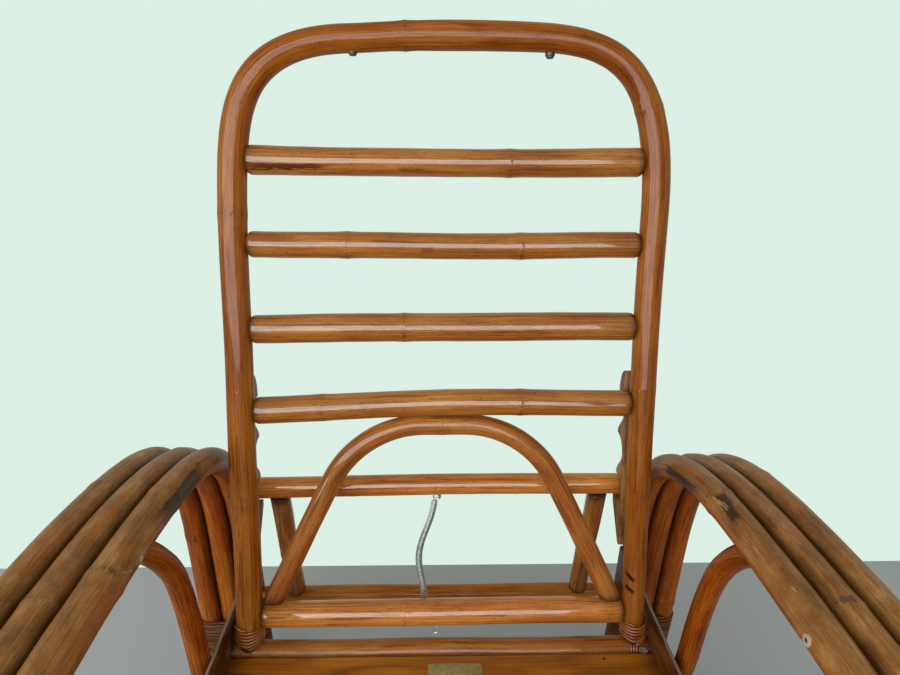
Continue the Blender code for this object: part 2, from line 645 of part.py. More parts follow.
def rack_outline():
    """The rack's side outline as (behind, along) points, up its front edge and down its teeth."""
    front = HOOP_POLE / 2 + FIT
    first_tip = BAR_ALONG + RACK_TIP_RISE
    last_tip = first_tip + (RACK_TEETH - 1) * RACK_PITCH
    deep = RACK_TIP_DEPTH - RACK_NOTCH_DEPTH
    outline = [(front, RACK_BOTTOM), (front, last_tip + RACK_CROWN * RACK_FRONT_SHARE)]
    for angle in np.linspace(RACK_CROWN_SWEEP, 0.0, RACK_ROUND_STEPS):
        outline.append((front + (RACK_TIP_DEPTH - front) * math.cos(angle) ** RACK_CROWN_ROUND,
                        last_tip + RACK_CROWN * math.sin(angle) / math.sin(RACK_CROWN_SWEEP)))
    ledge = BAR_ALONG - PROP_BAR / 2 - FIT
    for tooth in reversed(range(RACK_TEETH)):
        tip = first_tip + tooth * RACK_PITCH
        for angle in np.linspace(0.0, math.pi / 2, RACK_ROUND_STEPS)[1:]:
            outline.append((RACK_TIP_DEPTH - deep * math.sin(angle), tip - deep * (1.0 - math.cos(angle))))
        if tooth:
            swell_low, swell_high = tip - RACK_PITCH, tip - deep
            for share in np.linspace(0.0, 1.0, RACK_ROUND_STEPS)[1:]:
                outline.append((RACK_NOTCH_DEPTH + deep * (1.0 - math.cos(math.pi * share)) / 2,
                                swell_high + (swell_low - swell_high) * share))
    outline += [(RACK_NOTCH_DEPTH, ledge), (RACK_LEDGE_DEPTH, ledge),
                (RACK_LEDGE_DEPTH, ledge - RACK_LEDGE_EDGE), (front + RACK_LEDGE_EDGE, RACK_BOTTOM)]
    return outline


def build_racks(rack_wood, screw_steel, parts, cutters, back):
    """Sawn boards behind the uprights, each held by two screws driven in from the front."""
    for side, way in (("left", -1), ("right", 1)):
        curve = bpy.data.curves.new(f"{side}_rack_outline", "CURVE")
        curve.dimensions = "2D"
        curve.fill_mode = "BOTH"
        curve.extrude = RACK_THICKNESS / 2
        outline = rack_outline()
        spline = curve.splines.new("POLY")
        spline.points.add(len(outline) - 1)
        spline.use_cyclic_u = True
        for spot, (behind, along) in zip(spline.points, outline):
            spot.co = (behind, along, 0.0, 1.0)
        holder = bpy.data.objects.new(f"{side}_rack_outline", curve)
        parts.objects.link(holder)
        mesh = curve_to_mesh(holder)
        x = rack_x(way)
        for vert in mesh.vertices:
            vert.co = (x + vert.co.z, vert.co.x, vert.co.y)
        rack = mesh_object(f"{side}_rack", mesh, rack_wood, parts, back)
        for number, place in enumerate(RACK_SCREW_PLACES, start=1):
            cut_with(rack, screw_hole(side, way, place, rack_wood, cutters, back))
            build_screw(f"{side}_rack_screw_{number}", way, place, screw_steel, parts, cutters, back)


def rack_x(way):
    """The middle of one rack's thickness."""
    return way * (UPRIGHT_X - RACK_INSET) + RACK_SHIFT


def screw_reach():
    """Where a rack screw starts, at the upright's front, and where its point stops in the rack."""
    return -HOOP_POLE / 2 + RACK_SCREW_SINK, HOOP_POLE / 2 + RACK_SCREW_BITE


def screw_hole(side, way, place, material, cutters, back):
    """The hole through an upright and into its rack for one screw."""
    name = f"{side}_screw_hole_{place:.3f}"
    if name in bpy.data.objects:
        return bpy.data.objects[name]
    near, far = screw_reach()
    wide = (RACK_SCREW + 2 * FIT) / math.cos(math.pi / SMALL_SIDES)
    head = (RACK_SCREW_HEAD + 2 * FIT) / math.cos(math.pi / SMALL_SIDES)
    x = rack_x(way)
    outside = near - RACK_SCREW_HEAD
    under_head = near + RACK_SCREW_HEAD_HEIGHT + FIT
    hole = round_bar(name, (x, outside, place), (x, far + FIT, place), wide, material, cutters, back,
                     sides=SMALL_SIDES)
    mouth = round_bar(name + "_mouth", (x, outside, place), (x, under_head, place), head, material, cutters,
                      back, sides=SMALL_SIDES)
    cut_with(hole, as_cutter(mouth), "UNION")
    return as_cutter(hole)


def build_screw(name, way, place, screw_steel, parts, cutters, back):
    """A round-headed screw: a head let into the upright's front and a shank into the rack."""
    near, far = screw_reach()
    x = rack_x(way)
    shank = round_bar(name, (x, near + RACK_SCREW_NECK, place), (x, far, place), RACK_SCREW, screw_steel,
                      parts, back, sides=SMALL_SIDES)
    head = round_bar(name + "_head", (x, near, place), (x, near + RACK_SCREW_HEAD_HEIGHT, place),
                     RACK_SCREW_HEAD, screw_steel, cutters, back, sides=SMALL_SIDES)
    cut_with(shank, as_cutter(head), "UNION")


# Prop, in its own frame: z runs from the axle up its legs to the bar

def prop_places():
    """The axle's place, the bar's place and the prop's length, in the chair's side plane."""
    axle = Vector((leg_y_at(AXLE_Z), AXLE_Z))
    along = Vector((math.sin(RECLINE), math.cos(RECLINE)))
    behind = Vector((math.cos(RECLINE), -math.sin(RECLINE)))
    bar = Vector((HINGE_Y, HINGE_Z)) + along * BAR_ALONG + behind * BAR_BEHIND
    return axle, bar, (bar - axle).length


def axle_half_length():
    """Half the axle between the inner strands."""
    return ARM_INNER_X - ARM_POLE / 2 - FIT


def build_prop(rattan, parts, cutters, prop):
    """A bar that stands in the racks, two legs, and the axle they swing on."""
    length = prop_places()[2]
    half = UPRIGHT_X + PROP_BAR_OVERHANG
    round_bar("prop_bar", (-half, 0.0, length), (half, 0.0, length), PROP_BAR, rattan, parts, prop,
              sides=PROP_SIDES, edge=PROP_BAR_EDGE)
    for side, x in (("left", PROP_LEG_LEFT_INSET - UPRIGHT_X), ("right", UPRIGHT_X - PROP_LEG_RIGHT_INSET)):
        round_bar(f"{side}_prop_leg", (x, 0.0, AXLE_POLE / 2 + FIT), (x, 0.0, length - PROP_BAR / 2 - FIT),
                  PROP_LEG, rattan, parts, prop)
    half = axle_half_length()
    axle = round_bar("prop_axle", (-half, 0.0, 0.0), (half, 0.0, 0.0), AXLE_POLE, rattan, parts, prop,
                     sides=PROP_SIDES)
    reach = half + JOURNAL_LENGTH
    journal = round_bar("axle_journals", (-reach, 0.0, 0.0), (reach, 0.0, 0.0), JOURNAL, rattan, cutters,
                        prop, sides=LEG_SIDES)
    cut_with(axle, as_cutter(journal), "UNION")


# Spring

def in_prop(prop_matrix, back_matrix, point):
    """A point given in the back's frame, in the prop's frame."""
    return prop_matrix.inverted() @ back_matrix @ Vector(point)


def hook_points(top, drop, leg):
    """An L-shaped wire hook: down from its screwed end, then along a short leg."""
    start = np.array(top)
    bend = start + np.array([0.0, 0.0, -drop])
    return [start, bend + np.array([0.0, 0.0, HOOK_CORNER]), bend + np.array(leg) / HOOK_LEG * HOOK_CORNER,
            bend + np.array(leg)]


def build_spring(steel, parts, back, prop):
    """A slack spring that pulls the prop bar down towards the lower rung, and its two hooks."""
    bpy.context.view_layer.update()
    low_along, low_diameter, _ = RUNG_BY_NAME["back_lower_rung"]
    length = prop_places()[2]
    upper = hook_points((HOOK_X, 0.0, length - PROP_BAR / 2 - FIT), HOOK_DROP, (-HOOK_LEG, 0.0, 0.0))
    tube("upper_spring_hook", upper, HOOK_WIRE, steel, parts, prop, sides=CANE_SIDES)
    lower = hook_points((HOOK_X, 0.0, low_along - low_diameter / 2 - FIT), HOOK_DROP, (-HOOK_LEG, 0.0, 0.0))
    tube("lower_spring_hook", lower, HOOK_WIRE, steel, parts, back, sides=CANE_SIDES)

    touch = HOOK_WIRE / 2 + FIT
    head = upper[-1] + np.array([HOOK_WIRE, 0.0, -touch])
    behind_rung = low_diameter / 2 + SPRING_LEAVES_RUNG
    foot_low = lower[-1] + np.array([HOOK_WIRE, touch + FIT, 0.0])
    foot_high = np.array([SPRING_FOOT_X, behind_rung, low_along])
    low_point = np.array([SPRING_TURN_X, behind_rung * SPRING_TUCK, lower[-1][2] - HOOK_WIRE])
    foot_low, foot_high, low_point = (
        np.array(in_prop(prop.matrix_world, back.matrix_world, p)) for p in (foot_low, foot_high, low_point))

    coil_top = head + np.array([0.0, 0.0, -SPRING_TAIL])
    t = np.linspace(0.0, 1.0, SPRING_CURLS * SPRING_CURL_POINTS + 1)
    middle = coil_top[None, :] * (1 - t[:, None]) + foot_high[None, :] * t[:, None]
    middle[:, 0] -= SPRING_BOW * np.sin(math.pi * t) ** 2
    turn = 2 * math.pi * SPRING_CURLS * t
    taper = np.clip(np.minimum(t, 1.0 - t) * SPRING_CURLS, 0.0, 1.0)
    radius = SPRING_DIAMETER / 2 * taper
    axis = (foot_high - coil_top) / np.linalg.norm(foot_high - coil_top)
    across = np.array([1.0, 0.0, 0.0])
    depth = np.cross(axis, across)
    coil = middle + radius[:, None] * (np.cos(turn)[:, None] * across + np.sin(turn)[:, None] * depth)
    path = np.vstack([[head, (head + coil_top) / 2], coil, [low_point, foot_low]])
    tube("prop_spring", path, SPRING_WIRE, steel, parts, prop, sides=CANE_SIDES)
    gap = least_gap(path, SPRING_WIRE, SPRING_CURL_POINTS // 2)
    print(f"prop_spring least gap to itself: {gap * 1000:.2f} mm")


# Foot bindings

def foot_binding_path(x_middle, foot_y, crown_handle):
    """Cane wound up a foot's three strands: flat loops with round ends that climb the leg."""
    leg = arm_half(foot_y, crown_handle)[::-1]
    run = np.concatenate([[0.0], np.cumsum(np.linalg.norm(np.diff(leg, axis=0), axis=1))])
    half_turn = (FOOT_LOOP_TURNS[1] - FOOT_LOOP_TURNS[0]) / 2
    radius = (ARM_POLE / 2 + FIT + FOOT_CANE / 2) / math.cos(half_turn)
    round_end = radius * np.stack([np.cos(FOOT_LOOP_TURNS), np.sin(FOOT_LOOP_TURNS)], axis=1)
    right = round_end + np.array([ARM_PITCH, 0.0])
    loop = np.concatenate([right, -right])
    index = np.arange(FOOT_TURNS * len(loop) + 1)
    climb = FOOT_BINDING_START + FOOT_TURN_STEP * index / len(loop)
    middle_y = np.interp(climb, run, leg[:, 0])
    middle_z = np.interp(climb, run, leg[:, 1])
    ahead_y = np.gradient(middle_y)
    ahead_z = np.gradient(middle_z)
    size = np.hypot(ahead_y, ahead_z)
    across, out = loop[index % len(loop)].T
    out = out * math.copysign(1.0, foot_y)
    points = np.stack([x_middle + across, middle_y + out * ahead_z / size, middle_z - out * ahead_y / size],
                      axis=1)
    return with_straight_ends(points, FOOT_CANE), len(loop)


def build_foot_bindings(cane, parts):
    """A binding round each of the four feet."""
    for side, way in (("left", -1), ("right", 1)):
        x = way * (ARM_INNER_X + ARM_PITCH)
        for end, foot_y, handle in (("front", -ARM_FOOT_REACH, FRONT_CROWN_HANDLE),
                                    ("rear", ARM_FOOT_REACH, REAR_CROWN_HANDLE)):
            name = f"{end}_{side}_foot_binding"
            points, loop_points = foot_binding_path(x, foot_y, handle)
            tube(name, points, FOOT_CANE, cane, parts, sides=CANE_SIDES)
            gap = least_gap(points, FOOT_CANE, loop_points // 2)
            print(f"{name} least gap to itself: {gap * 1000:.2f} mm")


def pivot(name, group, place, lean):
    """An empty on a joint's axis. lean tips its z axis towards the rear."""
    empty = bpy.data.objects.new(name, None)
    empty.location = place
    empty.rotation_euler = (-lean, 0.0, 0.0)
    group.objects.link(empty)
    return empty


def main():
    clear_scene()
    parts = collection("rattan_recliner")
    cutters = collection("cutters")

    varnished = finish("varnished_rattan", (0.36, 0.13, 0.03), 0.30)
    weathered = finish("weathered_rattan", (0.22, 0.10, 0.04), 0.55)
    cane = finish("binding_cane", (0.24, 0.09, 0.03), 0.50)
    board = finish("stained_board", (0.13, 0.05, 0.02), 0.50)
    deck_wood = finish("deck_wood", (0.40, 0.17, 0.03), 0.35)
    rack_wood = finish("rack_wood", (0.22, 0.13, 0.06), 0.60)
    peg_wood = finish("dark_peg", (0.05, 0.03, 0.02), 0.60)
    steel = finish("spring_steel", (0.55, 0.56, 0.56), 0.40, 1.0)
    plate = finish("plain_plate", (0.30, 0.22, 0.10), 0.50)

    axle, bar, _ = prop_places()
    back = pivot("back_pivot", parts, (0.0, HINGE_Y, HINGE_Z), RECLINE)
    prop = pivot("prop_pivot", parts, (0.0, axle.x, axle.y), math.atan2(bar.x - axle.x, bar.y - axle.y))

    build_arms(weathered, parts, cutters)
    build_braces(varnished, parts)
    build_seat(varnished, board, deck_wood, plate, parts, cutters)
    build_back_poles(varnished, parts, cutters, back)
    build_pegs(peg_wood, parts, back)
    build_straps(cane, parts, back)
    build_racks(rack_wood, steel, parts, cutters, back)
    build_prop(varnished, parts, cutters, prop)
    build_spring(steel, parts, back, prop)
    build_foot_bindings(cane, parts)
    print("parts:", sum(1 for obj in parts.objects if obj.type == "MESH"))


main()
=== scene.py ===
import math
from collections import namedtuple

import bpy
import numpy as np
from mathutils import Matrix


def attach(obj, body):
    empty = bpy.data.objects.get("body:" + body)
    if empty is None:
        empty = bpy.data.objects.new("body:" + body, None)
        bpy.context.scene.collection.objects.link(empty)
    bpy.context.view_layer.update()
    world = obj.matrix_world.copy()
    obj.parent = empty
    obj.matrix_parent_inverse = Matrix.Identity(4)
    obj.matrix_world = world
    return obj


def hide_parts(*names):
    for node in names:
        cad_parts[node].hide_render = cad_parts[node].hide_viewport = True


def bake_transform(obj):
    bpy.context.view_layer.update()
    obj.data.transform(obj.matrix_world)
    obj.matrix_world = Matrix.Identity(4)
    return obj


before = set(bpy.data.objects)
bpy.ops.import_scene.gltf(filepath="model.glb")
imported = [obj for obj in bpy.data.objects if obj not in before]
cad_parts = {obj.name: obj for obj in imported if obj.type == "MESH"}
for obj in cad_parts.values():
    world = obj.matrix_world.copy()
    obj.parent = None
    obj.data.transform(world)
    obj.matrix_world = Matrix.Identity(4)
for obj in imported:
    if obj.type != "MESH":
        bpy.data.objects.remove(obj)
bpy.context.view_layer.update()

# The looks of a rattan reclining lounge chair: bent poles with their knots, sawn boards, wound cane
# and a slack spring, each put over its solid. Metres, +Z up. The chair faces -Y and left is -X.
# The sizes are the solids' own, with the small unevenness of work done by hand.

FIT = 0.0003
TURN = 2.0 * math.pi

# Arms
ARM_RADIUS = 0.017
ARM_X = {"left": (0.3087, 0.3445, 0.3803), "right": (0.3079, 0.3422, 0.3765)}
ARM_CROWN_Y = {"left": -0.040, "right": -0.054}
ARM_CROWN = {"left": 0.5705, "right": 0.5633}
ARM_THICKNESS = {"left": 1.05, "right": 1.0}
ARM_FOOT_REACH = 0.4386
ARM_FOOT_RAKE = math.radians(13.3)
ARM_FOOT_HANDLE = 0.402
REAR_CROWN_HANDLE = 0.5575
FRONT_CROWN_HANDLE = 0.435

# Seat
SEAT_HALF = 0.289
RAIL_THICKNESS = 0.010
RAIL_TOP = 0.301
RAIL_BOTTOM = 0.219
# Width of the pale band on the rails' top faces: worn wood with a painted highlight.
RAIL_PALE_EDGE = 0.0072
RAIL_CORNER = 0.0030
RAIL_LEAN = 0.0028
RAIL_LEAN_FROM = 0.10
RAIL_LEAN_OVER = 0.15
RAIL_END = 0.1
DECK_TOP = 0.263
DECK_THICKNESS = 0.012
DECK_REAR = 0.214
DECK_STEP = 0.1355
DECK_GAP = 0.002
DECK_HALF = 0.288
DECK_CORNER = 0.002
DECK_BOARDS = 4
CLEAT = 0.018
CLEAT_CORNER = 0.0015
CLEAT_FRONT = -0.326
FRONT_RAIL = (0.017, -0.345, 0.246)
HINGE_RAIL = (0.016, 0.237, 0.250)
PLATE_PLACE = (0.0147, 0.183, 0.2633)
PLATE_HALF = (0.036, 0.017)
PLATE_THICKNESS = 0.0008
PLATE_CORNER = 0.004

# Braces
BRACE_RADIUS = 0.0135
BRACE_X = 0.3128
BRACE_FOOT = np.array([0.186, 0.219])
BRACE_HEAD_Y = {"left": 0.062, "right": 0.052}
BRACE_BOW = {"left": 0.0, "right": 0.0065}
BRACE_TUCK = {"left": 0.0138, "right": 0.0057}
BRACE_TUCK_FROM = 0.45
BRACE_RISE = 0.200
BRACE_REACH = 0.070
BRACE_KNOT = (0.15, 0.48)
BRACE_RAKE = math.radians(2.0)

# Back
LEAN = math.radians(11.8)
HOOP_RADIUS = 0.01825
UPRIGHT_X = 0.2657
HOOP_LENGTH = 0.811
SADDLE = 0.0194
HOOP_SHOULDER = 0.70
Bend = namedtuple("Bend", "across along heading before after")
HOOP_BENDS = (
    Bend(0.2645, SADDLE, 90.9, 0.0, 0.037),
    Bend(0.2629, 0.374, 90.1, 0.037, 0.0885),
    Bend(0.2665, 0.608, 89.4, 0.0885, 0.165),
    Bend(0.115, 0.8108, 178.6, 0.1055, 0.176),
    Bend(-0.121, 0.8067, 183.2, 0.0585, 0.1355),
    Bend(-0.2653, 0.6205, 268.8, 0.101, 0.079),
    Bend(-0.2648, SADDLE, 270.0, 0.079, 0.0),
)
HOOP_THICKNESS = (
    (0.0, 0.0149), (0.05, 0.0154), (0.13, 0.0164), (0.30, 0.0173), (0.338, 0.0177), (0.375, 0.0164),
    (0.41, 0.0162), (0.465, 0.0173), (0.50, 0.0176), (0.53, 0.0168), (0.58, 0.0169), (0.62, 0.0177),
    (0.675, 0.0183), (0.76, 0.0178), (0.91, 0.0181), (1.0, 0.0177),
)
RUNG_HALF = 0.24715
Rung = namedtuple("Rung", "name along radius bow half left_rise right_rise left_swell right_swell knots")
RUNGS = (
    Rung("back_rung_1", 0.662, 0.01735, -0.0010, 0.2464, 0.0008, 0.0023, 0.0012, 0.0008,
         ((0.0795, 0.8),)),
    Rung("back_rung_2", 0.5595, 0.0166, -0.0010, RUNG_HALF, 0.0, 0.0018, 0.0002, 0.0,
         ((-0.1237, 0.9), (0.0965, 0.8))),
    Rung("back_rung_3", 0.455, 0.0184, 0.0, RUNG_HALF, -0.0036, 0.0011, 0.0, 0.0,
         ((-0.052, 0.8),)),
    Rung("back_rung_4", 0.350, 0.0173, 0.005, RUNG_HALF, -0.0060, 0.0038, 0.0002, 0.0,
         ((-0.159, 0.7), (0.0995, 0.9))),
    Rung("back_lower_rung", 0.058, 0.0176, 0.0, RUNG_HALF, -0.0022, 0.0006, -0.0009, -0.0004,
         ((-0.052, 0.7),)),
)
ARCH_RADIUS = 0.01375
ARCH_SLANT = math.radians(25.75)
ARCH_CORNER = 0.135
ARCH_TOP = 0.3242
ARCH_FOOT = (0.2319, 0.0767)
PEG_X = (-0.1135, 0.1272)

# Racks
RACK_X = (-0.2645, 0.2550)
RACK_DROP = (0.0057, 0.0)
RACK_HALF = 0.0095
RACK_FRONT = 0.01855
RACK_BOTTOM = 0.145
RACK_PITCH = 0.0582
BAR_ALONG = 0.2195
FIRST_TOOTH = BAR_ALONG + 0.0227
RACK_TIP = 0.0478
RACK_NOTCH = 0.0225
RACK_LEDGE = 0.058
RACK_LIP = 0.008
RACK_CROWN = 0.034
NAIL_PLACES = (0.165, 0.372)

# Prop
AXLE = np.array([0.40630, 0.200])
BAR = np.array([0.34062, 0.45259])
BAR_RADIUS = 0.01475
BAR_HALF = 0.282
BAR_LEFT_DROP = 0.0066
LEG_RADIUS = 0.01425
LEG_X = (-0.2345, 0.2252)
AXLE_HALF = 0.2924
JOURNAL_RADIUS = 0.007
JOURNAL_LENGTH = 0.0135

# Camera, from the photograph's view
CAMERA_PLACE = (-0.0206, -0.494, 0.989)
CAMERA_DOWN = math.radians(20.5)
CAMERA_RIGHT = math.radians(1.923)
CAMERA_ROLL = math.radians(-0.781)
CAMERA_LENS = 27.04

# How finely things are divided
POLE_STEP = 0.005
POLE_SIDES = 36
KNOT_STEPS = np.array([0.0, 0.0005, 0.0011, 0.0019, 0.0028, 0.0040, 0.0060, 0.0090])
KNOT_OFFSETS = np.concatenate([-KNOT_STEPS[:0:-1], KNOT_STEPS])
FAR_FROM_KNOT = 0.05
SHARP_EDGE = math.radians(48.0)

# How a grown pole differs from a true one: amounts, and the lengths that they change over
STRAY = 0.0005
STRAY_FADE = 0.05
STRAY_SIDE_LENGTH = 0.049
STRAY_UP_LENGTH = 0.043
WAVER = 0.009
WAVER_LENGTH = 0.037
RIPPLE = 0.004
RIPPLE_LENGTH = 0.0097
OVAL = 0.009
OVAL_LENGTH = 0.21
THREE_SIDED = 0.004
THREE_SIDED_LENGTH = 0.13
KNOT_RIDGE = 0.00025
KNOT_RIDGE_LENGTH = 0.0018
KNOT_SWELL = 0.0007
KNOT_SWELL_LENGTH = 0.009
CUT_FADE = 0.04

Look = namedtuple("Look", "material slot")


# Places

SIN_LEAN, COS_LEAN = math.sin(LEAN), math.cos(LEAN)
BACK_ALONG = np.array([0.0, SIN_LEAN, COS_LEAN])
BACK_BEHIND = np.array([0.0, COS_LEAN, -SIN_LEAN])
HINGE = np.array([0.0, HINGE_RAIL[1], HINGE_RAIL[2]])
ACROSS = np.array([1.0, 0.0, 0.0])


def unit(vectors):
    """Vectors of length one."""
    return vectors / np.linalg.norm(vectors, axis=-1, keepdims=True)


PROP_LENGTH = float(np.linalg.norm(BAR - AXLE))
PROP_UP = np.array([0.0, *unit(BAR - AXLE)])
PROP_BEHIND = np.array([0.0, PROP_UP[2], -PROP_UP[1]])


def combined(origin, ways, amounts):
    """An origin plus amounts of some directions, for whole arrays of amounts."""
    amounts = np.broadcast_arrays(*(np.asarray(amount, dtype=float)[..., None] for amount in amounts))
    return origin + sum(amount * way for amount, way in zip(amounts, ways))


def on_back(across, behind, along):
    """Points at places across, behind and along the back."""
    return combined(HINGE, (ACROSS, BACK_BEHIND, BACK_ALONG), (across, behind, along))


def on_prop(across, behind, along):
    """Points at places across, behind and up the prop from its axle."""
    return combined(np.array([0.0, *AXLE]), (ACROSS, PROP_BEHIND, PROP_UP), (across, behind, along))


def bezier(p0, p1, p2, p3, steps=400):
    """Points along a cubic curve given by two ends and two handles."""
    t = np.linspace(0.0, 1.0, steps)[:, None]
    return (1 - t) ** 3 * p0 + 3 * t * (1 - t) ** 2 * p1 + 3 * t * t * (1 - t) * p2 + t ** 3 * p3


def arm_half(way, handle, side):
    """Half an arm seen from the side: (y, z) from the crown to one foot."""
    crown = np.array([ARM_CROWN_Y[side], ARM_CROWN[side]])
    foot = np.array([way * ARM_FOOT_REACH, 0.0])
    up_leg = np.array([-way * math.sin(ARM_FOOT_RAKE), math.cos(ARM_FOOT_RAKE)])
    return bezier(crown, crown + [way * handle, 0.0], foot + up_leg * ARM_FOOT_HANDLE, foot)


REAR_HALF = {side: arm_half(1.0, REAR_CROWN_HANDLE, side) for side in ARM_CROWN}
FRONT_HALF = {side: arm_half(-1.0, FRONT_CROWN_HANDLE, side) for side in ARM_CROWN}
SIDES = (("left", -1.0), ("right", 1.0))


def leg_y(half, z):
    """Where a leg's middle line is at some heights."""
    return np.interp(z, half[::-1, 1], half[::-1, 0])


def on_arm(side, index, y, turn):
    """A place on an arm pole's skin: at y, turned some degrees from the top towards the chair's middle."""
    front, rear = FRONT_HALF[side], REAR_HALF[side]
    line = np.concatenate([front[: front[:, 0].argmin() + 1][::-1], rear[1: rear[:, 0].argmax() + 1]])
    ahead = unit(np.gradient(line, axis=0))
    z, ahead_y, ahead_z = (np.interp(y, line[:, 0], value) for value in (line[:, 1], *ahead.T))
    way, turn = dict(SIDES)[side], math.radians(turn)
    out = np.array([-way * math.sin(turn), -ahead_z * math.cos(turn), ahead_y * math.cos(turn)])
    return np.array([way * ARM_X[side][index], y, z]) + ARM_RADIUS * ARM_THICKNESS[side] * out


def run_along(path):
    """Distance along a path at each of its points."""
    return np.concatenate([[0.0], np.cumsum(np.linalg.norm(np.diff(path, axis=0), axis=1))])


def hoop_line():
    """The hoop's middle line (across, along) from its right foot to its left one: a cubic curve from each
    bend to the next, with handles along the bends' headings."""
    bends = np.array(HOOP_BENDS)
    places, turns = bends[:, :2], np.radians(bends[:, 2])
    headings = np.column_stack([np.cos(turns), np.sin(turns)])
    before, after = places - bends[:, 3:4] * headings, places + bends[:, 4:] * headings
    curves = [bezier(*ends)[1:] for ends in zip(places[:-1], after[:-1], before[1:], places[1:])]
    return np.concatenate([places[:1], *curves])


def hoop_thickness(run):
    """The hoop's radius at distances from its right foot, given at some shares of its length."""
    return np.interp(run / run[-1], *np.transpose(HOOP_THICKNESS))


HOOP = hoop_line()


# Finishes

class Finish:
    """A procedural finish: a Principled shader and short ways to add the nodes that feed it."""

    def __init__(self, name, shine=0.5, coat=0.0, coat_rough=0.1, metal=0.0):
        self.material = bpy.data.materials.new(name)
        self.material.use_nodes = True
        self.tree = self.material.node_tree
        self.shader = self.tree.nodes["Principled BSDF"]
        for socket, value in (("Specular IOR Level", shine), ("Coat Weight", coat),
                              ("Coat Roughness", coat_rough), ("Metallic", metal)):
            self.shader.inputs[socket].default_value = value

    def add(self, kind, *inputs, **settings):
        """A node with its settings, its first inputs joined to sockets or set to numbers."""
        made = self.tree.nodes.new(kind)
        for key, value in settings.items():
            setattr(made, key, value)
        for socket, value in zip(made.inputs, inputs):
            self.feed(socket, value)
        return made

    def feed(self, socket, value):
        """Join a socket to another one, or set it."""
        if isinstance(value, bpy.types.NodeSocket):
            self.tree.links.new(value, socket)
        elif value is not None:
            socket.default_value = value

    def mark(self, name):
        """A number kept on the piece's points."""
        return self.add("ShaderNodeAttribute", attribute_name=name).outputs["Fac"]

    def noise(self, scale, detail=3.0, rough=0.55):
        """Cloudy noise in the piece's own grain frame, which runs along z."""
        place = self.add("ShaderNodeAttribute", attribute_name="grain").outputs["Vector"]
        stretched = self.add("ShaderNodeVectorMath", place, scale, operation="MULTIPLY").outputs["Vector"]
        made = self.add("ShaderNodeTexNoise")
        self.feed(made.inputs["Vector"], stretched)
        for socket, value in (("Scale", 1.0), ("Detail", detail), ("Roughness", rough)):
            made.inputs[socket].default_value = value
        return made.outputs["Fac"]

    def math(self, operation, first, second=None):
        """One step of arithmetic on one or two numbers."""
        return self.add("ShaderNodeMath", first, second, operation=operation).outputs["Value"]

    def times(self, first, second):
        """The product of two numbers."""
        return self.math("MULTIPLY", first, second)

    def plus(self, first, second):
        """The sum of two numbers."""
        return self.math("ADD", first, second)

    def stray(self, scale, reach, detail=3.0, rough=0.6):
        """Noise that strays up to half of reach to either side of nought."""
        return self.times(self.math("SUBTRACT", self.noise(scale, detail, rough), 0.5), reach)

    def blend(self, share, first, second):
        """The first number going over to the second."""
        made = self.add("ShaderNodeMix", data_type="FLOAT")
        for index, value in ((0, share), (2, first), (3, second)):
            self.feed(made.inputs[index], value)
        return made.outputs[0]

    def rise(self, value, low, high):
        """0 up to low, 1 from high on, and a smooth rise between them."""
        made = self.add("ShaderNodeMapRange", value, low, high, interpolation_type="SMOOTHSTEP")
        return made.outputs["Result"]

    def fall(self, value, low, high):
        """1 up to low, 0 from high on, and a smooth fall between them."""
        return self.math("SUBTRACT", 1.0, self.rise(value, low, high))

    def ramp(self, share, *stops):
        """Colours at places along 0 to 1."""
        made = self.add("ShaderNodeValToRGB", share)
        points = made.color_ramp.elements
        for index, (place, colour) in enumerate(stops):
            point = points[index] if index < 2 else points.new(place)
            point.position = place
            point.color = (*colour, 1.0)
        return made.outputs["Color"]

    def mix(self, share, first, second, way="MIX"):
        """The first colour going over to the second."""
        made = self.add("ShaderNodeMix", data_type="RGBA", blend_type=way)
        for index, value in ((0, share), (6, first), (7, second)):
            if isinstance(value, tuple):
                value = (*value, 1.0)
            self.feed(made.inputs[index], value)
        return made.outputs[2]

    def spot(self, centre, radius, ragged=None):
        """1 inside a ball about a place at rest, fading at its rim, which a noise can make ragged."""
        place = self.add("ShaderNodeTexCoord").outputs["Object"]
        away = self.add("ShaderNodeVectorMath", place, centre, operation="DISTANCE").outputs["Value"]
        if ragged is not None:
            away = self.plus(away, self.times(self.math("SUBTRACT", ragged, 0.5), radius * 2.4))
        return self.fall(away, radius * 0.65, radius)

    def stroke(self, start, end, radius, ragged):
        """1 along a straight mark between two places at rest, fading at a rim that a noise makes ragged."""
        middle = (np.asarray(start) + np.asarray(end)) / 2
        along = np.asarray(end) - middle
        place = self.add("ShaderNodeTexCoord").outputs["Object"]
        away = self.add("ShaderNodeVectorMath", place, tuple(middle), operation="SUBTRACT")
        away = away.outputs["Vector"]
        way = tuple(along / np.linalg.norm(along))
        far = self.add("ShaderNodeVectorMath", away, way, operation="DOT_PRODUCT").outputs["Value"]
        size = self.add("ShaderNodeVectorMath", away, operation="LENGTH").outputs["Value"]
        aside = self.math("SQRT", self.math("SUBTRACT", self.times(size, size), self.times(far, far)))
        aside = self.plus(aside, self.times(self.math("SUBTRACT", ragged, 0.5), radius * 1.6))
        reach = float(np.linalg.norm(along))
        far = self.plus(self.math("ABSOLUTE", far), self.times(self.math("SUBTRACT", ragged, 0.5), reach))
        inside = self.fall(far, reach * 0.45, reach)
        return self.times(inside, self.fall(aside, radius * 0.8, radius))

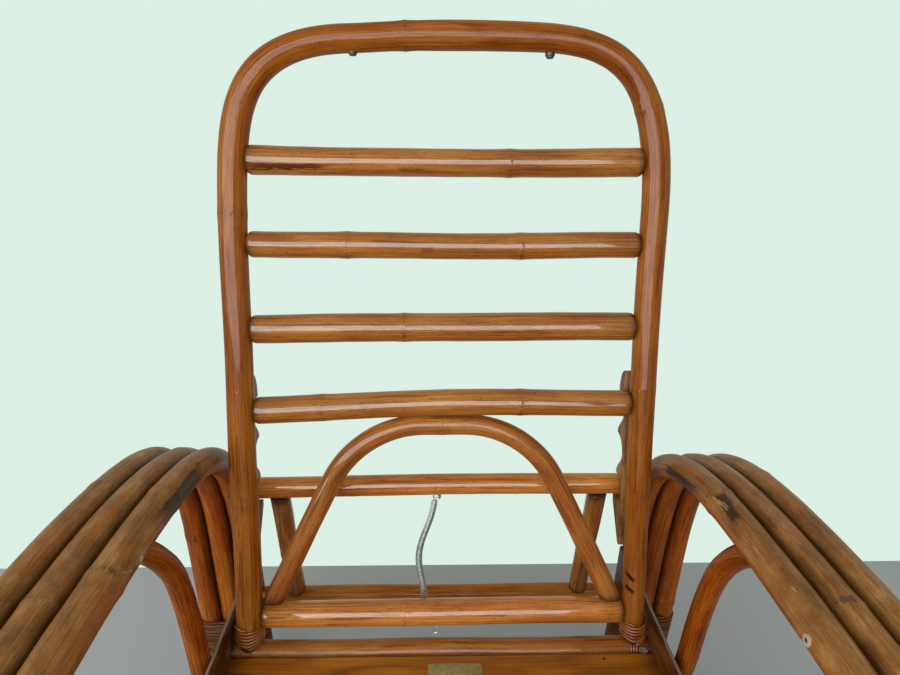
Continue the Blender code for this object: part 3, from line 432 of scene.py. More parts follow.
    def done(self, colour, rough=None, height=None, strength=0.3, distance=0.0005):
        """Feed the shader and hand over the material."""
        self.feed(self.shader.inputs["Base Color"], colour)
        self.feed(self.shader.inputs["Roughness"], rough)
        if height is not None:
            bump = self.add("ShaderNodeBump")
            bump.inputs["Strength"].default_value = strength
            bump.inputs["Distance"].default_value = distance
            self.feed(bump.inputs["Height"], height)
            self.feed(self.shader.inputs["Normal"], bump.outputs["Normal"])
        return self.material


SCORCH = (0.052, 0.011, 0.002)
DIRT_AND_SHADE = (0.020, 0.007, 0.003)
BURNT = (0.010, 0.006, 0.005)


def rattan(name, stops, worn_stops=None, scars=(), strokes=(), rough=0.34, coat=0.5, gloss=0.06, red=0.5):
    """Varnished pole: fibre streaks in amber and red, resin stains, dark dashes and pits, broken knot
    lines, dirt at the joints, painted shade where poles touch and, where it is worn, dull bare skin with
    scratches."""
    skin = Finish(name, 0.04, coat, gloss)
    streaks = skin.noise((560.0, 560.0, 8.0), 6.0, 0.66)
    clouds = skin.noise((30.0, 30.0, 7.0), 3.0)
    fibres = skin.noise((2100.0, 2100.0, 36.0), 2.0)
    tone = skin.blend(0.36, streaks, clouds)
    colour = skin.ramp(skin.blend(0.26, tone, fibres), *stops)
    redder = skin.rise(skin.noise((17.0, 17.0, 5.0), 3.0, 0.6), 0.48, 0.60)
    colour = skin.mix(skin.times(redder, red), colour, (0.72, 0.44, 0.26), "MULTIPLY")
    resin = skin.rise(skin.noise((130.0, 130.0, 8.0), 4.0, 0.6), 0.585, 0.635)
    colour = skin.mix(skin.times(resin, 0.55), colour, (0.120, 0.026, 0.005))
    dashes = skin.rise(skin.noise((900.0, 900.0, 40.0), 3.0, 0.6), 0.60, 0.70)
    colour = skin.mix(skin.times(dashes, 0.55), colour, SCORCH)
    pits = skin.rise(skin.noise((620.0, 620.0, 300.0), 1.0), 0.675, 0.735)
    colour = skin.mix(skin.times(pits, 0.80), colour, SCORCH)
    dull = skin.plus(skin.times(clouds, 0.2), rough)
    if worn_stops:
        worn = skin.ramp(skin.blend(0.62, streaks, skin.noise((52.0, 52.0, 22.0), 6.0, 0.66)), *worn_stops)
        patch = skin.plus(skin.mark("wear"), skin.stray((70.0, 70.0, 12.0), 1.5, 4.0, 0.7))
        left = skin.rise(skin.noise((125.0, 125.0, 7.0), 5.0, 0.66), 0.535, 0.60)
        share = skin.times(skin.rise(patch, 0.26, 0.74), skin.math("SUBTRACT", 1.0, skin.times(left, 0.5)))
        colour = skin.mix(share, colour, worn)
        cracks = skin.rise(skin.noise((640.0, 640.0, 20.0), 4.0, 0.7), 0.63, 0.70)
        colour = skin.mix(skin.times(cracks, skin.times(share, 0.50)), colour, (0.022, 0.010, 0.004))
        scratch = skin.rise(skin.noise((1100.0, 1100.0, 34.0), 2.0, 0.5), 0.67, 0.72)
        colour = skin.mix(skin.times(scratch, skin.times(share, 0.55)), colour, (0.42, 0.28, 0.14))
        nicks = skin.rise(skin.noise((150.0, 150.0, 1100.0), 2.0, 0.5), 0.68, 0.72)
        colour = skin.mix(skin.times(nicks, skin.times(share, 0.45)), colour, (0.45, 0.30, 0.15))
        dull = skin.plus(dull, skin.times(share, 0.14))
    near = skin.mark("knot")
    ring = skin.mark("ring")
    line = skin.fall(skin.plus(near, skin.stray((90.0, 90.0, 30.0), 0.0080)), 0.0002, 0.0013)
    broken = skin.rise(skin.noise((190.0, 190.0, 60.0), 2.0), 0.42, 0.62)
    line = skin.times(skin.times(line, ring), skin.plus(skin.times(broken, 0.55), 0.04))
    hatch = skin.rise(skin.noise((1400.0, 1400.0, 80.0), 3.0, 0.6), 0.52, 0.62)
    hatch = skin.times(hatch, skin.times(skin.fall(near, 0.001, 0.016), skin.times(ring, 0.55)))
    colour = skin.mix(hatch, colour, (0.085, 0.026, 0.006))
    colour = skin.mix(line, colour, (0.030, 0.010, 0.003))
    # Dirt at the joints, and painted shade in the seams between touching poles.
    colour = skin.mix(skin.times(skin.mark("grime"), 0.85), colour, DIRT_AND_SHADE)
    for centre, radius, shade in scars:
        colour = skin.mix(skin.spot(centre, radius, fibres), colour, shade)
    chips = skin.noise((420.0, 420.0, 60.0), 4.0, 0.7)
    for start, end, radius, shade in strokes:
        colour = skin.mix(skin.stroke(start, end, radius, chips), colour, shade)
    height = skin.plus(streaks, skin.times(pits, -0.6))
    return skin.done(colour, dull, height, 0.2, 0.0007)


def toned(stops, factor):
    """The same colours, all darker or lighter."""
    return tuple((place, tuple(part * factor for part in colour)) for place, colour in stops)


VARNISH = ((0.34, (0.140, 0.034, 0.005)), (0.45, (0.330, 0.106, 0.015)), (0.54, (0.475, 0.184, 0.030)),
           (0.66, (0.640, 0.310, 0.080)))
HOOP_VARNISH = ((0.34, (0.110, 0.022, 0.002)), (0.45, (0.265, 0.070, 0.005)), (0.54, (0.390, 0.122, 0.010)),
                (0.66, (0.560, 0.225, 0.034)))
RED_VARNISH = ((0.34, (0.080, 0.015, 0.001)), (0.45, (0.245, 0.054, 0.003)), (0.54, (0.430, 0.116, 0.006)),
               (0.66, (0.620, 0.220, 0.018)))
WEATHERED = ((0.32, (0.090, 0.028, 0.004)), (0.44, (0.225, 0.086, 0.016)), (0.55, (0.350, 0.155, 0.036)),
             (0.68, (0.540, 0.300, 0.100)))

STAIN = (0.115, 0.024, 0.005)
BURNS = (
    (on_back(0.2490, -0.0060, 0.1180), on_back(0.2615, -0.0155, 0.1060), 0.0030, BURNT),
    (on_back(0.2490, -0.0060, 0.0995), on_back(0.2617, -0.0152, 0.0890), 0.0030, BURNT),
)
RESIN = (
    (on_back(-0.258, -0.0165, 0.6540), on_back(-0.130, -0.0165, 0.6545), 0.0036, STAIN),
    (on_back(-0.258, -0.0150, 0.6495), on_back(-0.090, -0.0150, 0.6485), 0.0020, SCORCH),
    (on_back(-0.262, -0.0120, 0.5680), on_back(-0.180, -0.0150, 0.5650), 0.0070, (0.30, 0.085, 0.010)),
    (on_back(-0.033, -0.0150, 0.5530), on_back(-0.013, -0.0160, 0.5535), 0.0040, (0.26, 0.070, 0.014)),
)
CRACKED = (0.055, 0.022, 0.008)
TORN = (0.42, 0.27, 0.11)
SMUDGE = (0.130, 0.057, 0.021)
ARM_MARKS = (
    ("left", 0, (0.0700, 74), (0.2380, 65), 0.0110, CRACKED),
    ("right", 0, (0.1600, 91), (0.2895, 86), 0.0090, CRACKED),
    ("right", 0, (0.1400, 26), (0.0980, 33), 0.0075, CRACKED),
    ("right", 0, (0.1165, 34), (0.0790, 39), 0.0060, CRACKED),
    ("right", 0, (0.1375, 49), (0.1120, 48), 0.0012, TORN),
    ("right", 0, (0.1285, 43), (0.1010, 41), 0.0010, TORN),
    ("right", 0, (0.1225, 35), (0.1045, 33), 0.0008, TORN),
    ("left", 0, (-0.0015, -16), (-0.0015, 61), 0.0050, SMUDGE),
    ("right", 1, (-0.0390, 38), (-0.0400, -20), 0.0048, SMUDGE),
    ("left", 0, (0.0080, -16), (-0.0095, 24), 0.0011, TORN),
    ("left", 0, (0.0025, 61), (0.0215, 97), 0.0010, TORN),
    ("right", 0, (-0.0200, 31), (-0.0285, 25), 0.0010, TORN),
    ("right", 2, (-0.0265, 5), (-0.0385, 8), 0.0010, TORN),
    ("right", 0, (0.0435, 50), (0.0180, 47), 0.0008, TORN),
)
BRUISES = tuple((on_arm(side, index, *start), on_arm(side, index, *end), radius, shade)
                for side, index, start, end, radius, shade in ARM_MARKS)
CHIPPED = ((tuple(on_arm("left", 0, 0.0385, 102)), 0.0044, (0.62, 0.52, 0.38)),)


def pole_look(name, *stops, slot="varnished_rattan", **finish):
    """A rattan finish and its slot."""
    return Look(rattan(name, *stops, **finish), slot)


hoop_varnish = pole_look("varnished_rattan_hoop", HOOP_VARNISH, strokes=BURNS, coat=0.17)
rung_varnish = pole_look("varnished_rattan_rungs", VARNISH, strokes=RESIN, red=0.35)
# A copy of the rung varnish half as light again for the lower rung and the prop bar: painted light for their
# brighter sheen.
sheen_lit_varnish = pole_look("varnished_rattan_painted_sheen", toned(VARNISH, 1.5), red=0.3)
arch_varnish = pole_look("varnished_rattan_arch", toned(VARNISH, 1.05), coat=0.3, red=0.6)
arm_skin = pole_look("weathered_rattan_arms", toned(RED_VARNISH, 1.2), WEATHERED, slot="weathered_rattan",
                     coat=0.28, gloss=0.30, strokes=BRUISES, scars=CHIPPED)
brace_varnish = pole_look("varnished_rattan_braces", RED_VARNISH, rough=0.36, coat=0.20)
axle_varnish = pole_look("varnished_rattan_axle", toned(VARNISH, 1.15), coat=0.06)
hinge_varnish = pole_look("varnished_rattan_hinge", VARNISH, rough=0.40, coat=0.3, gloss=0.24)
prop_varnish = pole_look("varnished_rattan_prop", VARNISH, rough=0.36)


def cane(name, stops, rough, coat, shine=0.12):
    """Split cane: fine fibres along each strand and a rounded, lightly soiled skin with painted shade along
    its edges.
    """
    skin = Finish(name, shine, coat, 0.14)
    fibres = skin.noise((2600.0, 2600.0, 22.0), 3.0, 0.6)
    patches = skin.noise((60.0, 60.0, 16.0), 2.0)
    colour = skin.ramp(skin.blend(0.5, fibres, patches), *stops)
    # Dirt and painted shade along the edges where the cane's turns meet.
    colour = skin.mix(skin.times(skin.mark("grime"), 0.9), colour, DIRT_AND_SHADE)
    return skin.done(colour, skin.plus(skin.times(fibres, 0.25), rough), fibres, 0.3, 0.0003)


GLOSSY_CANE = ((0.36, (0.120, 0.024, 0.003)), (0.50, (0.320, 0.090, 0.012)), (0.66, (0.500, 0.190, 0.042)))
DULL_CANE = ((0.36, (0.070, 0.022, 0.007)), (0.50, (0.200, 0.080, 0.032)), (0.66, (0.350, 0.185, 0.090)))
DRY_CANE = ((0.36, (0.10, 0.075, 0.055)), (0.50, (0.24, 0.195, 0.150)), (0.66, (0.42, 0.37, 0.31)))
back_cane = Look(cane("binding_cane_back", GLOSSY_CANE, 0.30, 0.2), "binding_cane")
foot_cane = Look(cane("binding_cane_feet", DULL_CANE, 0.46, 0.0, 0.05), "binding_cane")
frayed_cane = Look(cane("binding_cane_frayed", DRY_CANE, 0.55, 0.0), "binding_cane")


def board(name, stops, worn, scars=(), specks=None, rough=0.34, coat=0.25, rings=7.0, stained=0.55,
          shine=0.22):
    """Sawn board: drifting growth rings, fine pores, and raw wood where its edges are worn."""
    wood = Finish(name, shine, coat, 0.16)
    drift = wood.noise((16.0, 16.0, 2.2), 2.0)
    rows = wood.math("FRACT", wood.times(drift, rings))
    rows = wood.math("ABSOLUTE", wood.math("SUBTRACT", rows, 0.5))
    fibres = wood.noise((900.0, 900.0, 14.0), 4.0, 0.6)
    tone = wood.blend(0.55, wood.plus(rows, 0.25), fibres)
    colour = wood.ramp(tone, *stops)
    stains = wood.rise(wood.noise((38.0, 38.0, 12.0), 4.0, 0.62), 0.52, 0.68)
    colour = wood.mix(wood.times(stains, stained), colour, SCORCH)
    scuffs = wood.noise((210.0, 210.0, 38.0), 4.0, 0.65)
    share = wood.rise(wood.plus(wood.mark("wear"), wood.math("SUBTRACT", scuffs, 0.5)), 0.40, 0.62)
    bare = wood.ramp(fibres, (0.34, tuple(part * 0.5 for part in worn)), (0.66, worn))
    colour = wood.mix(share, colour, bare)
    if specks:
        centre, radius, shade = specks
        grains = wood.rise(wood.noise((420.0, 420.0, 260.0), 2.0), 0.57, 0.61)
        colour = wood.mix(wood.times(wood.spot(centre, radius), grains), colour, shade)
    # Dirt, and on the deck boards painted shade along their ends by the rails.
    colour = wood.mix(wood.times(wood.mark("grime"), 0.8), colour, DIRT_AND_SHADE)
    for centre, radius, shade in scars:
        colour = wood.mix(wood.spot(centre, radius, fibres), colour, shade)
    dull = wood.plus(wood.plus(wood.times(share, 0.25), wood.times(scuffs, 0.15)), rough)
    return wood.done(colour, dull, fibres, 0.25, 0.0006)


STAINED = ((0.30, (0.026, 0.006, 0.002)), (0.50, (0.100, 0.030, 0.007)), (0.70, (0.200, 0.074, 0.018)))
GOLDEN = ((0.30, (0.200, 0.052, 0.001)), (0.50, (0.420, 0.135, 0.003)), (0.70, (0.580, 0.225, 0.010)))
OLIVE = ((0.30, (0.120, 0.042, 0.007)), (0.50, (0.300, 0.132, 0.028)), (0.70, (0.480, 0.250, 0.070)))
RAIL_FLECKS = ((-0.2889, 0.2115, 0.2800), 0.014, (0.42, 0.25, 0.08))
DECK_BURN = ((0.218, 0.206, DECK_TOP), 0.0024, BURNT)
# The rails' pale colour stands for rubbed wood and also paints the highlight on their lit top edges.
rail_board = Look(board("stained_board_rails", STAINED, (0.330, 0.265, 0.185), specks=RAIL_FLECKS, coat=0.06,
                        shine=0.06), "stained_board")
deck_board = Look(board("deck_wood", GOLDEN, (0.27, 0.145, 0.050), (DECK_BURN,), rough=0.36, coat=0.12,
                        rings=9.0, stained=0.10), "deck_wood")
rack_board = Look(board("rack_wood", OLIVE, (0.38, 0.240, 0.105), rough=0.42, coat=0.05, shine=0.08),
                  "rack_wood")


def dark_wood():
    """Nearly black turned wood with a dull wax shine."""
    wood = Finish("dark_peg", 0.3, 0.1, 0.3)
    fibres = wood.noise((1200.0, 1200.0, 60.0), 3.0)
    colour = wood.ramp(fibres, (0.3, (0.012, 0.007, 0.005)), (0.7, (0.060, 0.034, 0.022)))
    return wood.done(colour, wood.plus(wood.times(fibres, 0.3), 0.35), fibres, 0.3, 0.0003)


def filler():
    """Wood filler over a nail head, rubbed with stain."""
    paste = Finish("nail_filler", 0.2, 0.3, 0.15)
    grit = paste.noise((1800.0, 1800.0, 1800.0), 3.0)
    colour = paste.ramp(grit, (0.32, (0.200, 0.055, 0.005)), (0.68, (0.420, 0.140, 0.016)))
    return paste.done(colour, paste.plus(paste.times(grit, 0.3), 0.3), grit, 0.3, 0.0003)


def steel():
    """Dull spring wire with a few brown specks of rust."""
    wire = Finish("spring_steel", metal=1.0)
    cloud = wire.noise((220.0, 220.0, 220.0), 3.0)
    fine = wire.noise((1400.0, 1400.0, 300.0), 2.0)
    rust = wire.rise(cloud, 0.60, 0.70)
    colour = wire.ramp(fine, (0.3, (0.20, 0.20, 0.195)), (0.7, (0.40, 0.40, 0.39)))
    colour = wire.mix(wire.times(rust, 0.8), colour, (0.150, 0.075, 0.038))
    dull = wire.plus(wire.times(rust, 0.35), wire.times(fine, 0.3))
    return wire.done(colour, wire.plus(dull, 0.36), fine, 0.2, 0.0002)


def brass():
    """A blank plate of dull lacquered brass, brushed along its length and darkened at its rim."""
    plate = Finish("plain_plate", metal=0.3)
    brushed = plate.noise((1900.0, 1900.0, 40.0), 3.0)
    stains = plate.noise((150.0, 150.0, 150.0), 4.0, 0.65)
    colour = plate.ramp(plate.blend(0.6, brushed, stains), (0.32, (0.240, 0.160, 0.046)),
                        (0.52, (0.480, 0.350, 0.115)), (0.72, (0.640, 0.510, 0.210)))
    colour = plate.mix(plate.times(plate.mark("wear"), 0.6), colour, (0.060, 0.040, 0.014))
    return plate.done(colour, plate.plus(plate.times(stains, 0.4), 0.25), brushed, 0.15, 0.0002)


def pale_plug():
    """End grain of a pale wood plug, darker towards its nailed middle."""
    wood = Finish("pale_plug", 0.3)
    speck = wood.noise((1600.0, 1600.0, 1600.0), 3.0)
    colour = wood.ramp(speck, (0.3, (0.40, 0.32, 0.20)), (0.7, (0.68, 0.60, 0.44)))
    colour = wood.mix(wood.mark("grime"), colour, (0.030, 0.020, 0.014))
    return wood.done(colour, wood.plus(wood.times(speck, 0.3), 0.45), speck, 0.3, 0.0003)


peg_wood = Look(dark_wood(), "dark_peg")
nail_filler = Look(filler(), "dark_peg")
wire_steel = Look(steel(), "spring_steel")
plate_brass = Look(brass(), "plain_plate")
plug_wood = Look(pale_plug(), "rack_wood")


# Surfaces

def ring_faces(rings, sides):
    """Quads of a tube of rings, and the two fans that close it on its two last points."""
    start = np.arange(rings - 1)[:, None] * sides
    here = np.arange(sides)[None, :]
    there = (here + 1) % sides
    quads = np.stack([start + here, start + there, start + sides + there, start + sides + here], axis=-1)
    near = np.stack([np.full(sides, rings * sides), there[0], here[0]], axis=-1)
    end = (rings - 1) * sides
    far = np.stack([np.full(sides, rings * sides + 1), end + here[0], end + there[0]], axis=-1)
    return quads.reshape(-1, 4), np.concatenate([near, far])


def with_ends(values):
    """Values on rings as one list, followed by the mean of the first and of the last ring."""
    return np.concatenate([values.reshape(-1, values.shape[-1]), values[[0, -1]].mean(axis=1)])


def make_piece(name, rings, grain, look, body, node=None, **marks):
    """A closed tube of rings (n, m, 3) as a mesh, on a body if one is given, with its grain frame and other
    marks."""
    count, sides = rings.shape[:2]
    points = with_ends(rings)
    quads, fans = ring_faces(count, sides)
    mesh = bpy.data.meshes.new(name)
    mesh.vertices.add(len(points))
    mesh.vertices.foreach_set("co", points.astype(np.float32).ravel())
    mesh.loops.add(quads.size + fans.size)
    corners = np.concatenate([quads.ravel(), fans.ravel()])
    mesh.loops.foreach_set("vertex_index", corners.astype(np.int32))
    mesh.polygons.add(len(quads) + len(fans))
    starts = np.concatenate([np.arange(len(quads)) * 4, quads.size + np.arange(len(fans)) * 3])
    mesh.polygons.foreach_set("loop_start", starts.astype(np.int32))
    mesh.update(calc_edges=True)
    mesh.validate()
    mesh.shade_smooth()
    mesh.set_sharp_from_angle(angle=SHARP_EDGE)
    layer = mesh.attributes.new("grain", "FLOAT_VECTOR", "POINT")
    layer.data.foreach_set("vector", with_ends(grain).astype(np.float32).ravel())
    for mark, plain in (("knot", FAR_FROM_KNOT), ("ring", 0.0), ("wear", 0.0), ("grime", 0.0)):
        value = np.broadcast_to(np.asarray(marks.get(mark, plain), dtype=float), (count, sides))
        layer = mesh.attributes.new(mark, "FLOAT", "POINT")
        layer.data.foreach_set("value", with_ends(value[:, :, None]).astype(np.float32).ravel())
    mesh.materials.append(look.material)
    obj = bpy.data.objects.new(name, mesh)
    bpy.context.scene.collection.objects.link(obj)
    if node:
        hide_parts(node)
    if body:
        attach(obj, body)
    return obj


def resampled(path, run):
    """The path's points at the wanted distances along it."""
    have = run_along(path)
    return np.stack([np.interp(run, have, path[:, axis]) for axis in range(path.shape[1])], axis=1)


def path_frame(path, side_way):
    """Tangents of a path, and two directions square to them, the first one nearest to side_way."""
    ahead = unit(np.gradient(path, axis=0))
    side = np.broadcast_to(np.asarray(side_way, dtype=float), path.shape)
    first = unit(side - (side * ahead).sum(axis=1, keepdims=True) * ahead)
    return ahead, first, np.cross(ahead, first)


def ends_eased(run, ease):
    """How far a section shrinks near its ends: a quarter round of that radius."""
    away = np.clip(np.minimum(run, run[-1] - run), 0.0, ease)
    return ease - np.sqrt(np.maximum(ease ** 2 - (ease - away) ** 2, 0.0))


def stations(length, knots, ease, step=POLE_STEP):
    """Distances along a piece: even steps, closer ones at its eased ends and at each knot."""
    ends = ease * (1.0 - np.cos(np.linspace(0.0, math.pi / 2, 6)))
    even = np.linspace(0.0, length, max(2, math.ceil(length / step) + 1))
    near = (np.asarray(knots, dtype=float).reshape(-1, 1) + KNOT_OFFSETS).ravel()
    near = near[(near > 2 * ease) & (near < length - 2 * ease)]
    run = np.unique(np.round(np.concatenate([even, ends, length - ends, near]), 6))
    keep = np.concatenate([[True], np.diff(run) > 0.0002])
    keep[-1] = True
    return run[keep]


def knot_marks(path, knots, run=None):
    """Where knots (place, strength) fall along a path; at given distances also how far the nearest one is
    and how strong."""
    length = run_along(path)[-1]
    dense = resampled(path, np.linspace(0.0, length, 2000))
    places = np.array([place for place, _ in knots]).reshape(-1, 3)
    strong = np.array([strength for _, strength in knots] + [0.0])
    spots = np.linalg.norm(dense[None] - places[:, None], axis=2).argmin(axis=1) * length / 1999
    if run is None:
        return spots
    gap = np.abs(run[:, None] - np.concatenate([spots, [-1.0]])[None, :])
    return gap.min(axis=1), strong[gap.argmin(axis=1)]


def pole(name, path, radius, side_way, look, body, node, knots=(), ease=0.002, cuts=(None, None), seed=0,
         wear=None, grime=None, dirty_end=0.010, taper=None):
    """A bent pole. At distance s along its path and angle t round it, a point is path(s) + r(s, t) (cos t
    side + sin t up): r is the pole's radius, slightly oval, with a slow waver, a low ridge at each knot and
    rounded ends. An end's cut moves its rim along the pole to lie on a plane or a saddle."""
    length = run_along(path)[-1]
    run = stations(length, knot_marks(path, knots), ease)
    gap, ring = knot_marks(path, knots, run)
    line = resampled(path, run)
    ahead, side, up = path_frame(line, side_way)
    away = np.minimum(run, length - run)
    stray = STRAY * np.clip(away / STRAY_FADE, 0.0, 1.0)[:, None]
    line = line + stray * np.sin(run / STRAY_SIDE_LENGTH + seed)[:, None] * side
    line = line + stray * np.sin(run / STRAY_UP_LENGTH + 1.7 * seed)[:, None] * up
    waver = WAVER * np.sin(run / WAVER_LENGTH + seed) + RIPPLE * np.sin(run / RIPPLE_LENGTH + 2.3 * seed)
    size = radius * (1.0 + waver)
    size = size + ring * KNOT_RIDGE * np.exp(-(gap / KNOT_RIDGE_LENGTH) ** 2)
    size = size + ring * KNOT_SWELL * np.exp(-(gap / KNOT_SWELL_LENGTH) ** 2)
    if taper is not None:
        size = size + taper(run)
    size = size - ends_eased(run, ease)
    angle = np.linspace(0.0, TURN, POLE_SIDES, endpoint=False)
    out = np.cos(angle)[None, :, None] * side[:, None] + np.sin(angle)[None, :, None] * up[:, None]
    oval = 1.0 + OVAL * np.cos(2 * angle + run[:, None] / OVAL_LENGTH + seed)
    oval = oval + THREE_SIDED * np.cos(3 * angle + run[:, None] / THREE_SIDED_LENGTH + 2 * seed)
    offset = (size[:, None] * oval)[:, :, None] * out
    rings = line[:, None] + offset
    for end, cut in zip((0, -1), cuts):
        if cut is not None:
            fade = np.clip(1.0 - np.abs(run - run[end]) / CUT_FADE, 0.0, 1.0)[:, None]
            rings = rings + (fade * cut(offset, ahead[end]))[:, :, None] * ahead[:, None]
    places = size[:, None] * np.cos(angle), size[:, None] * np.sin(angle), run[:, None]
    grain = np.stack(np.broadcast_arrays(*places), axis=2) + seed * 3.7
    # Dirt near the ends, plus any painted shade handed in, such as at the arms' seams.
    darkening = np.maximum(np.exp(-(away / dirty_end) ** 2), 0.35 * np.exp(-away / 0.03))[:, None]
    if grime is not None:
        darkening = np.maximum(darkening, grime(rings, out))
    worn = 0.0 if wear is None else wear(rings, out)
    return make_piece(name, rings, grain, look, body, node, knot=np.minimum(gap, FAR_FROM_KNOT)[:, None],
                      ring=ring[:, None], grime=darkening, wear=worn)


def ribbon(name, path, outward, half_width, half_thick, look, body, node=None, seed=0, sides=10,
           square=2.6):
    """Wound cane: a flat oval section carried along a path, its thin side along the outward directions. The
    section is a squarish oval, half_thick cos^(2/square) outward and half_width sin^(2/square) across."""
    run = run_along(path)
    first, second = path_frame(path, outward)[1:]
    angle = np.linspace(0.0, TURN, sides, endpoint=False)
    power = 2.0 / square
    thick = half_thick * np.sign(np.cos(angle)) * np.abs(np.cos(angle)) ** power
    wide = half_width * np.sign(np.sin(angle)) * np.abs(np.sin(angle)) ** power
    small = 1.0 - ends_eased(run, half_thick)[:, None] / half_thick * 0.8
    rings = path[:, None] + (small * thick)[:, :, None] * first[:, None]
    rings = rings + (small * wide)[:, :, None] * second[:, None]
    grain = np.stack(np.broadcast_arrays(thick, wide, run[:, None]), axis=2) + seed * 2.9
    # Both edges of the cane are darkened: painted shade in the gaps between neighbouring turns, with dirt.
    grime = 0.9 * np.abs(np.sin(angle)) ** 6
    return make_piece(name, rings, grain, look, body, node, grime=grime[None, :])


def rounded_section(half_one, half_two, corner, steps=5):
    """Points round a rectangle with round corners, for each pair of half sizes."""
    quarter = np.linspace(0.0, math.pi / 2, steps)
    angle = np.concatenate([quarter + turn * math.pi / 2 for turn in range(4)])
    one_way = np.repeat([1.0, -1.0, -1.0, 1.0], steps)
    two_way = np.repeat([1.0, 1.0, -1.0, -1.0], steps)
    corner = np.asarray(corner)[..., None]
    one = one_way * (np.asarray(half_one)[..., None] - corner) + corner * np.cos(angle)
    two = two_way * (np.asarray(half_two)[..., None] - corner) + corner * np.sin(angle)
    return one, two


def slab(name, path, side_way, half_one, half_two, corner, look, body, node, ease=0.0015, seed=0, wear=None,
         grime=None, bend=None):
    """A board: a rectangle with round corners carried along a path, both ends drawn in by a quarter round."""
    run = stations(run_along(path)[-1], (), ease, 0.012)
    line = resampled(path, run)
    first, second = path_frame(line, side_way)[1:]
    inset = ends_eased(run, ease)
    one, two = rounded_section(half_one - inset, half_two - inset, corner)
    rings = line[:, None] + one[:, :, None] * first[:, None] + two[:, :, None] * second[:, None]
    if bend is not None:
        rings = bend(rings)
    grain = np.stack(np.broadcast_arrays(one, two, run[:, None]), axis=2) + seed * 1.3
    marks = {mark: shape(rings) for mark, shape in (("wear", wear), ("grime", grime)) if shape is not None}
    return make_piece(name, rings, grain, look, body, node, **marks)


def turned(name, centre, axis, profile, look, body, node=None, sides=24, grime=0.0, seed=0):
    """A turned piece: a profile of (distance along the axis, radius) spun round the axis."""
    axis = unit(np.asarray(axis, dtype=float))
    first = unit(np.cross(axis, [0.31, 0.52, 0.79]))
    second = np.cross(axis, first)
    along, radius = np.asarray(profile, dtype=float).T[:, :, None]
    angle = np.linspace(0.0, TURN, sides, endpoint=False)
    out = np.cos(angle)[:, None] * first + np.sin(angle)[:, None] * second
    rings = np.asarray(centre) + along[:, :, None] * axis + radius[:, :, None] * out
    grain = np.stack(np.broadcast_arrays(radius * np.cos(angle), radius * np.sin(angle), along), axis=2)
    darkening = np.atleast_1d(grime)[:, None]
    return make_piece(name, rings, grain + seed * 1.9, look, body, node, grime=darkening)


def level_cut(offset, ahead):
    """How far a rim moves along a pole to lie level."""
    return -offset[:, :, 2] / ahead[2]


def square_cut(offset, ahead):
    """How far a rim moves along a pole to lie square to the back."""
    return -(offset @ BACK_ALONG) / (ahead @ BACK_ALONG)


def saddle_cut(offset, ahead):
    """How far a rim moves along an upright to sit on the strap round the hinge rail."""
    behind = offset @ BACK_BEHIND
    return (np.sqrt(np.maximum(SADDLE ** 2 - behind ** 2, 0.0)) - SADDLE) * np.sign(ahead @ BACK_ALONG)


# Arms and braces

ARM_KNOTS = {
    ("left", 0): ((-0.002, 0.57), (0.140, 0.55), (-0.33, 0.40), (0.36, 0.42)),
    ("left", 1): ((-0.036, 0.57), (0.42, 0.172), (-0.36, 0.33), (0.27, 0.50)),
    ("left", 2): ((0.15, 0.54), (0.41, 0.335), (-0.28, 0.46)),
    ("right", 0): ((0.142, 0.54), (-0.30, 0.44), (0.41, 0.33)),
    ("right", 1): ((-0.040, 0.56), (0.30, 0.48), (-0.38, 0.30)),
    ("right", 2): ((0.19, 0.53), (0.42, 0.185), (-0.22, 0.50)),
}
ARM_WORN_FROM = 0.34
ARM_WORN_OVER = 0.16
# How far round each arm pole the dirt and painted shade at its seams spread.
SEAM_SHADE_WIDTH = 0.24


def arm_wear(rings, out):
    """The arms' upper sides are worn bare, and the legs keep their varnish."""
    high = np.clip((rings[:, :, 2] - ARM_WORN_FROM) / ARM_WORN_OVER, 0.0, 1.0)
    return high * (0.60 + 0.40 * out[:, :, 2])


def seam_dirt_and_shade(*ways):
    """Dirt and painted shade down the sides, facing these ways across, where neighbouring poles touch."""
    def darkening(rings, out):
        return 0.9 * sum(np.exp(-((1.0 - way * out[:, :, 0]) / SEAM_SHADE_WIDTH) ** 2) for way in ways)
    return darkening


def build_arms():
    """Six bent poles, level at the floor."""
    for side, way in SIDES:
        profile = np.concatenate([FRONT_HALF[side][::-1], REAR_HALF[side][1:]])
        # The sides of each pole that get dirt and painted shade where it touches its neighbours.
        dirt_and_shade_sides = ((way,), (way, -way), (-way,))
        for index, strand in enumerate(("inner", "middle", "outer")):
            x = way * ARM_X[side][index]
            knots = [((x, y, z), 1.0) for y, z in ARM_KNOTS[side, index]]
            path = np.column_stack([np.full(len(profile), x), profile])
            pole(f"{side}_arm_pole_{strand}", path, ARM_RADIUS * ARM_THICKNESS[side], (way, 0, 0), arm_skin,
                 "frame", f"{side}_arm_strand_{strand}", knots, ease=0.0012, cuts=(level_cut, level_cut),
                 seed=3 * (way > 0) + index + 1, wear=arm_wear, grime=seam_dirt_and_shade(*dirt_and_shade_sides[index]),
                 dirty_end=0.006)


def eased(share):
    """A share from 0 to 1 that starts and ends slowly."""
    share = np.clip(share, 0.0, 1.0)
    return share * share * (3.0 - 2.0 * share)


